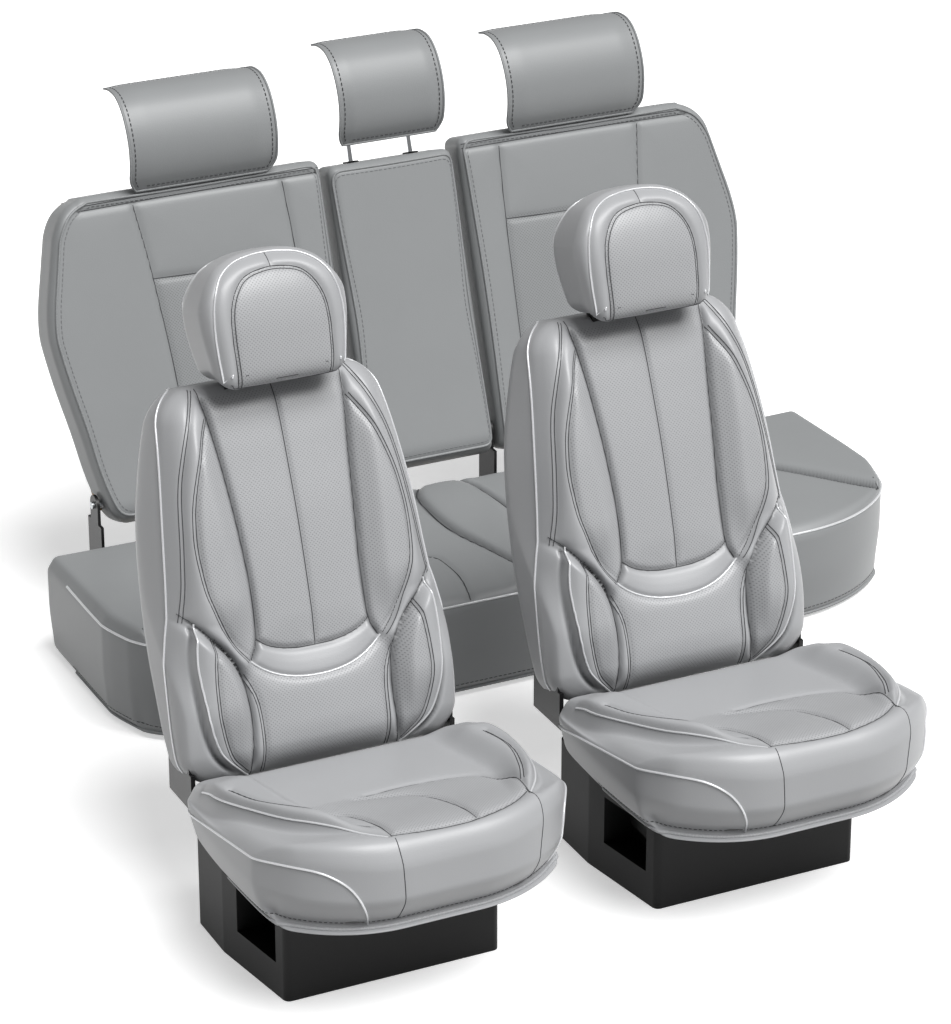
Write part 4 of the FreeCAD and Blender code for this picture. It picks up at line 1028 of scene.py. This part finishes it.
# %% Headrest sheets
HOOD = [
    (-51, 2), (-74, 28), (-90, 60), (-97, 95), (-94, 132), (-82, 165), (-58, 191), (-22, 205),
    (14, 207), (28, 206),
]
hood_line = smooth_line(HOOD, 3)
hood_steps = np.linalg.norm(np.diff(hood_line, axis=0), axis=1)
hood_along = np.concatenate([[0], np.cumsum(hood_steps)])
HOOD_LENGTH = hood_along[-1]
HOOD_CORNER = 40  # how far from an end the rounded corners begin
print("hood sheet length", round(HOOD_LENGTH, 1), "mm")


def hood_point(across, along, half_width, base):
    """Where a point of the flat sheet goes: across the width and along the bend."""
    y = np.interp(along, hood_along, hood_line[:, 0])
    z = np.interp(along, hood_along, hood_line[:, 1])
    end = ease(abs(across), 0.7 * half_width, half_width)
    return Vector((across, y + 3 * end, base + z - 3 * end * (along / HOOD_LENGTH)))


def hood_mesh(name, width, base, pinch):
    half = width / 2
    bm = bmesh.new()
    bmesh.ops.create_grid(bm, x_segments=60, y_segments=66, size=1)
    for vert in bm.verts:
        along = (vert.co.y + 1) / 2 * HOOD_LENGTH
        near = min(along, HOOD_LENGTH - along)
        square = 1 - pinch * (1 - near / HOOD_CORNER) ** 2 * (near < HOOD_CORNER)
        vert.co = hood_point(vert.co.x * half * square, along, half, base)
    bmesh.ops.recalc_face_normals(bm, faces=bm.faces)
    bmesh.ops.solidify(bm, geom=bm.faces, thickness=2.6)
    bmesh.ops.recalc_face_normals(bm, faces=bm.faces)
    mesh = bpy.data.meshes.new(name)
    bm.to_mesh(mesh)
    bm.free()
    mesh.shade_smooth()
    mesh.uv_layers.new(name="flat")
    for mark in ("perforated", "painted_crease_shade"):
        mesh.attributes.new(mark, "FLOAT", "POINT")
    return mesh


def hood_rim(width, base, inset, pinch, lift):
    """The sheet's edge, or a line inset from it, as a closed loop."""
    half = width / 2 - inset
    loop = []
    sides = [(-1, 0, 1), (1, 1, 0)]
    for sign, start, end in sides:
        for t in np.linspace(start, end, 90):
            along = inset + t * (HOOD_LENGTH - 2 * inset)
            near = min(along, HOOD_LENGTH - along)
            square = 1 - pinch * (1 - near / HOOD_CORNER) ** 2 * (near < HOOD_CORNER)
            loop.append(hood_point(sign * half * square, along, width / 2, base) + Vector((0, -lift, 0)))
        for s in np.linspace(0.92, -0.92, 24):
            along = inset if end == 0 else HOOD_LENGTH - inset
            square = 1 - pinch * (1 - min(inset, HOOD_CORNER) / HOOD_CORNER) ** 2
            loop.append(hood_point(sign * s * half * square, along, width / 2, base) + Vector((0, -lift, 0)))
    return loop


for name, centre, width, base in (
    ("left", -402, 308, 583), ("middle", 0, 228, 608), ("right", 402, 308, 583)
):
    place = REAR_AT @ Matrix.Translation((centre, 0, 0))
    body = f"rear_headrest_{name}"
    mesh = hood_mesh(f"hood_{name}", width - 4, base, 0.1)
    sheet = show(
        f"rear_headrest_hood_{name}", mesh, place, body, REAR_SKIN,
        (f"rear_{name}_headrest_cover",),
    )
    rim_mesh = cord_mesh(f"hood_rim_{name}", [hood_rim(width - 4, base, 0, 0.1, 0)], 2.4, closed=True)
    bound = show(f"rear_headrest_binding_{name}", rim_mesh, place, body, REAR_BINDING)
    row = stitches(hood_rim(width - 4, base, 10, 0.1, 1.5), 6, 4)
    sewn_row = show(
        f"rear_headrest_stitches_{name}", cord_mesh(f"hood_stitches_{name}", row, 0.8, sides=0),
        place, body, THREAD,
    )

# %% [markdown]
# ## Under-seat straps
# Two elastic straps hold the front skirt in from below. Each is a flat woven band, so it is modelled directly
# from a thin block with rounded edges.

# %% Straps
for side in SIDES:
    low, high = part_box(f"cushion_straps_{side}")
    buckle_low, buckle_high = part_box(f"strap_buckle_{side}")
    bm = bmesh.new()
    for start, end in ((low.x, buckle_low.x), (buckle_high.x, high.x)):
        made = bmesh.ops.create_cube(bm, size=1)["verts"]
        bmesh.ops.scale(bm, vec=(end - start, high.y - low.y, (high.z - low.z) * 0.8), verts=made)
        middle = ((start + end) / 2, (low.y + high.y) / 2, (low.z + high.z) / 2)
        bmesh.ops.translate(bm, vec=middle, verts=made)
    bmesh.ops.bevel(bm, geom=bm.edges, offset=0.0004, affect="EDGES", segments=2, profile=0.5, material=-1)
    mesh = bpy.data.meshes.new(f"strap_{side}")
    bm.to_mesh(mesh)
    bm.free()
    show(
        f"under_seat_straps_{side}", mesh, Matrix.Identity(4), f"seat_{side}",
        FINISHES["webbing"], (f"cushion_straps_{side}",),
    )

# %% [markdown]
# ## Floor, light and camera
# A pale floor and a pale world fill the shadows. One large lamp from the front right and above lights the
# faces, and leaves the seats' left sides darker. The camera is a long lens, a little above the seats.

# %% Floor and light
bm = bmesh.new()
bmesh.ops.create_grid(bm, x_segments=1, y_segments=1, size=14)
mesh = bpy.data.meshes.new("studio_floor")
bm.to_mesh(mesh)
bm.free()
floor = bpy.data.objects.new("studio_floor", mesh)
bpy.context.scene.collection.objects.link(floor)
mesh.materials.append(
    speckled("lit_white_acrylic", "#f4f4f4", "#fafafa", 30, 0.9, bump=0.0, Emission_Strength=0.45)
)
floor.visible_diffuse = False  # so that it throws no light up under the seats

world = bpy.data.worlds.new("pale_studio")
world.use_nodes = True
world.node_tree.nodes["Background"].inputs["Color"].default_value = colour("#ffffff")
world.node_tree.nodes["Background"].inputs["Strength"].default_value = 0.27
bpy.context.scene.world = world
bpy.context.scene.view_settings.view_transform = "Standard"

centre = (cad_box[0] + cad_box[1]) / 2


def lamp(name, place, size, power):
    light = bpy.data.lights.new(name, "AREA")
    light.shape = "DISK"
    light.size = size
    light.energy = power
    holder = bpy.data.objects.new(name, light)
    holder.location = centre + Vector(place)
    holder.rotation_euler = (-Vector(place)).to_track_quat("-Z", "Y").to_euler()
    bpy.context.scene.collection.objects.link(holder)


sky = bpy.data.lights.new("soft_overhead", "SUN")
sky.energy = 3.9
sky.angle = math.radians(38)
holder = bpy.data.objects.new("soft_overhead", sky)
holder.rotation_euler = Vector((0.15, -0.5, 0.85)).to_track_quat("Z", "Y").to_euler()
bpy.context.scene.collection.objects.link(holder)
lamp("front", (1.8, -3.4, 3.2), 1.6, 8)

# %% Camera
CAMERA_TURN, CAMERA_ABOVE, CAMERA_AWAY = 25.9, 24.6, 6.54
LENS, SENSOR = 140.6, 36
AIM = Vector((-0.428, -0.624, 0.755))
camera = bpy.data.objects.new("camera", bpy.data.cameras.new("camera"))
bpy.context.scene.collection.objects.link(camera)
turn, above = math.radians(CAMERA_TURN), math.radians(CAMERA_ABOVE)
back = Vector((-math.sin(turn) * math.cos(above), -math.cos(turn) * math.cos(above), math.sin(above)))
camera.location = AIM + back * CAMERA_AWAY
camera.rotation_euler = (math.pi / 2 - above, 0, -turn)
camera.data.lens = LENS
camera.data.sensor_width = SENSOR
bpy.context.scene.camera = camera
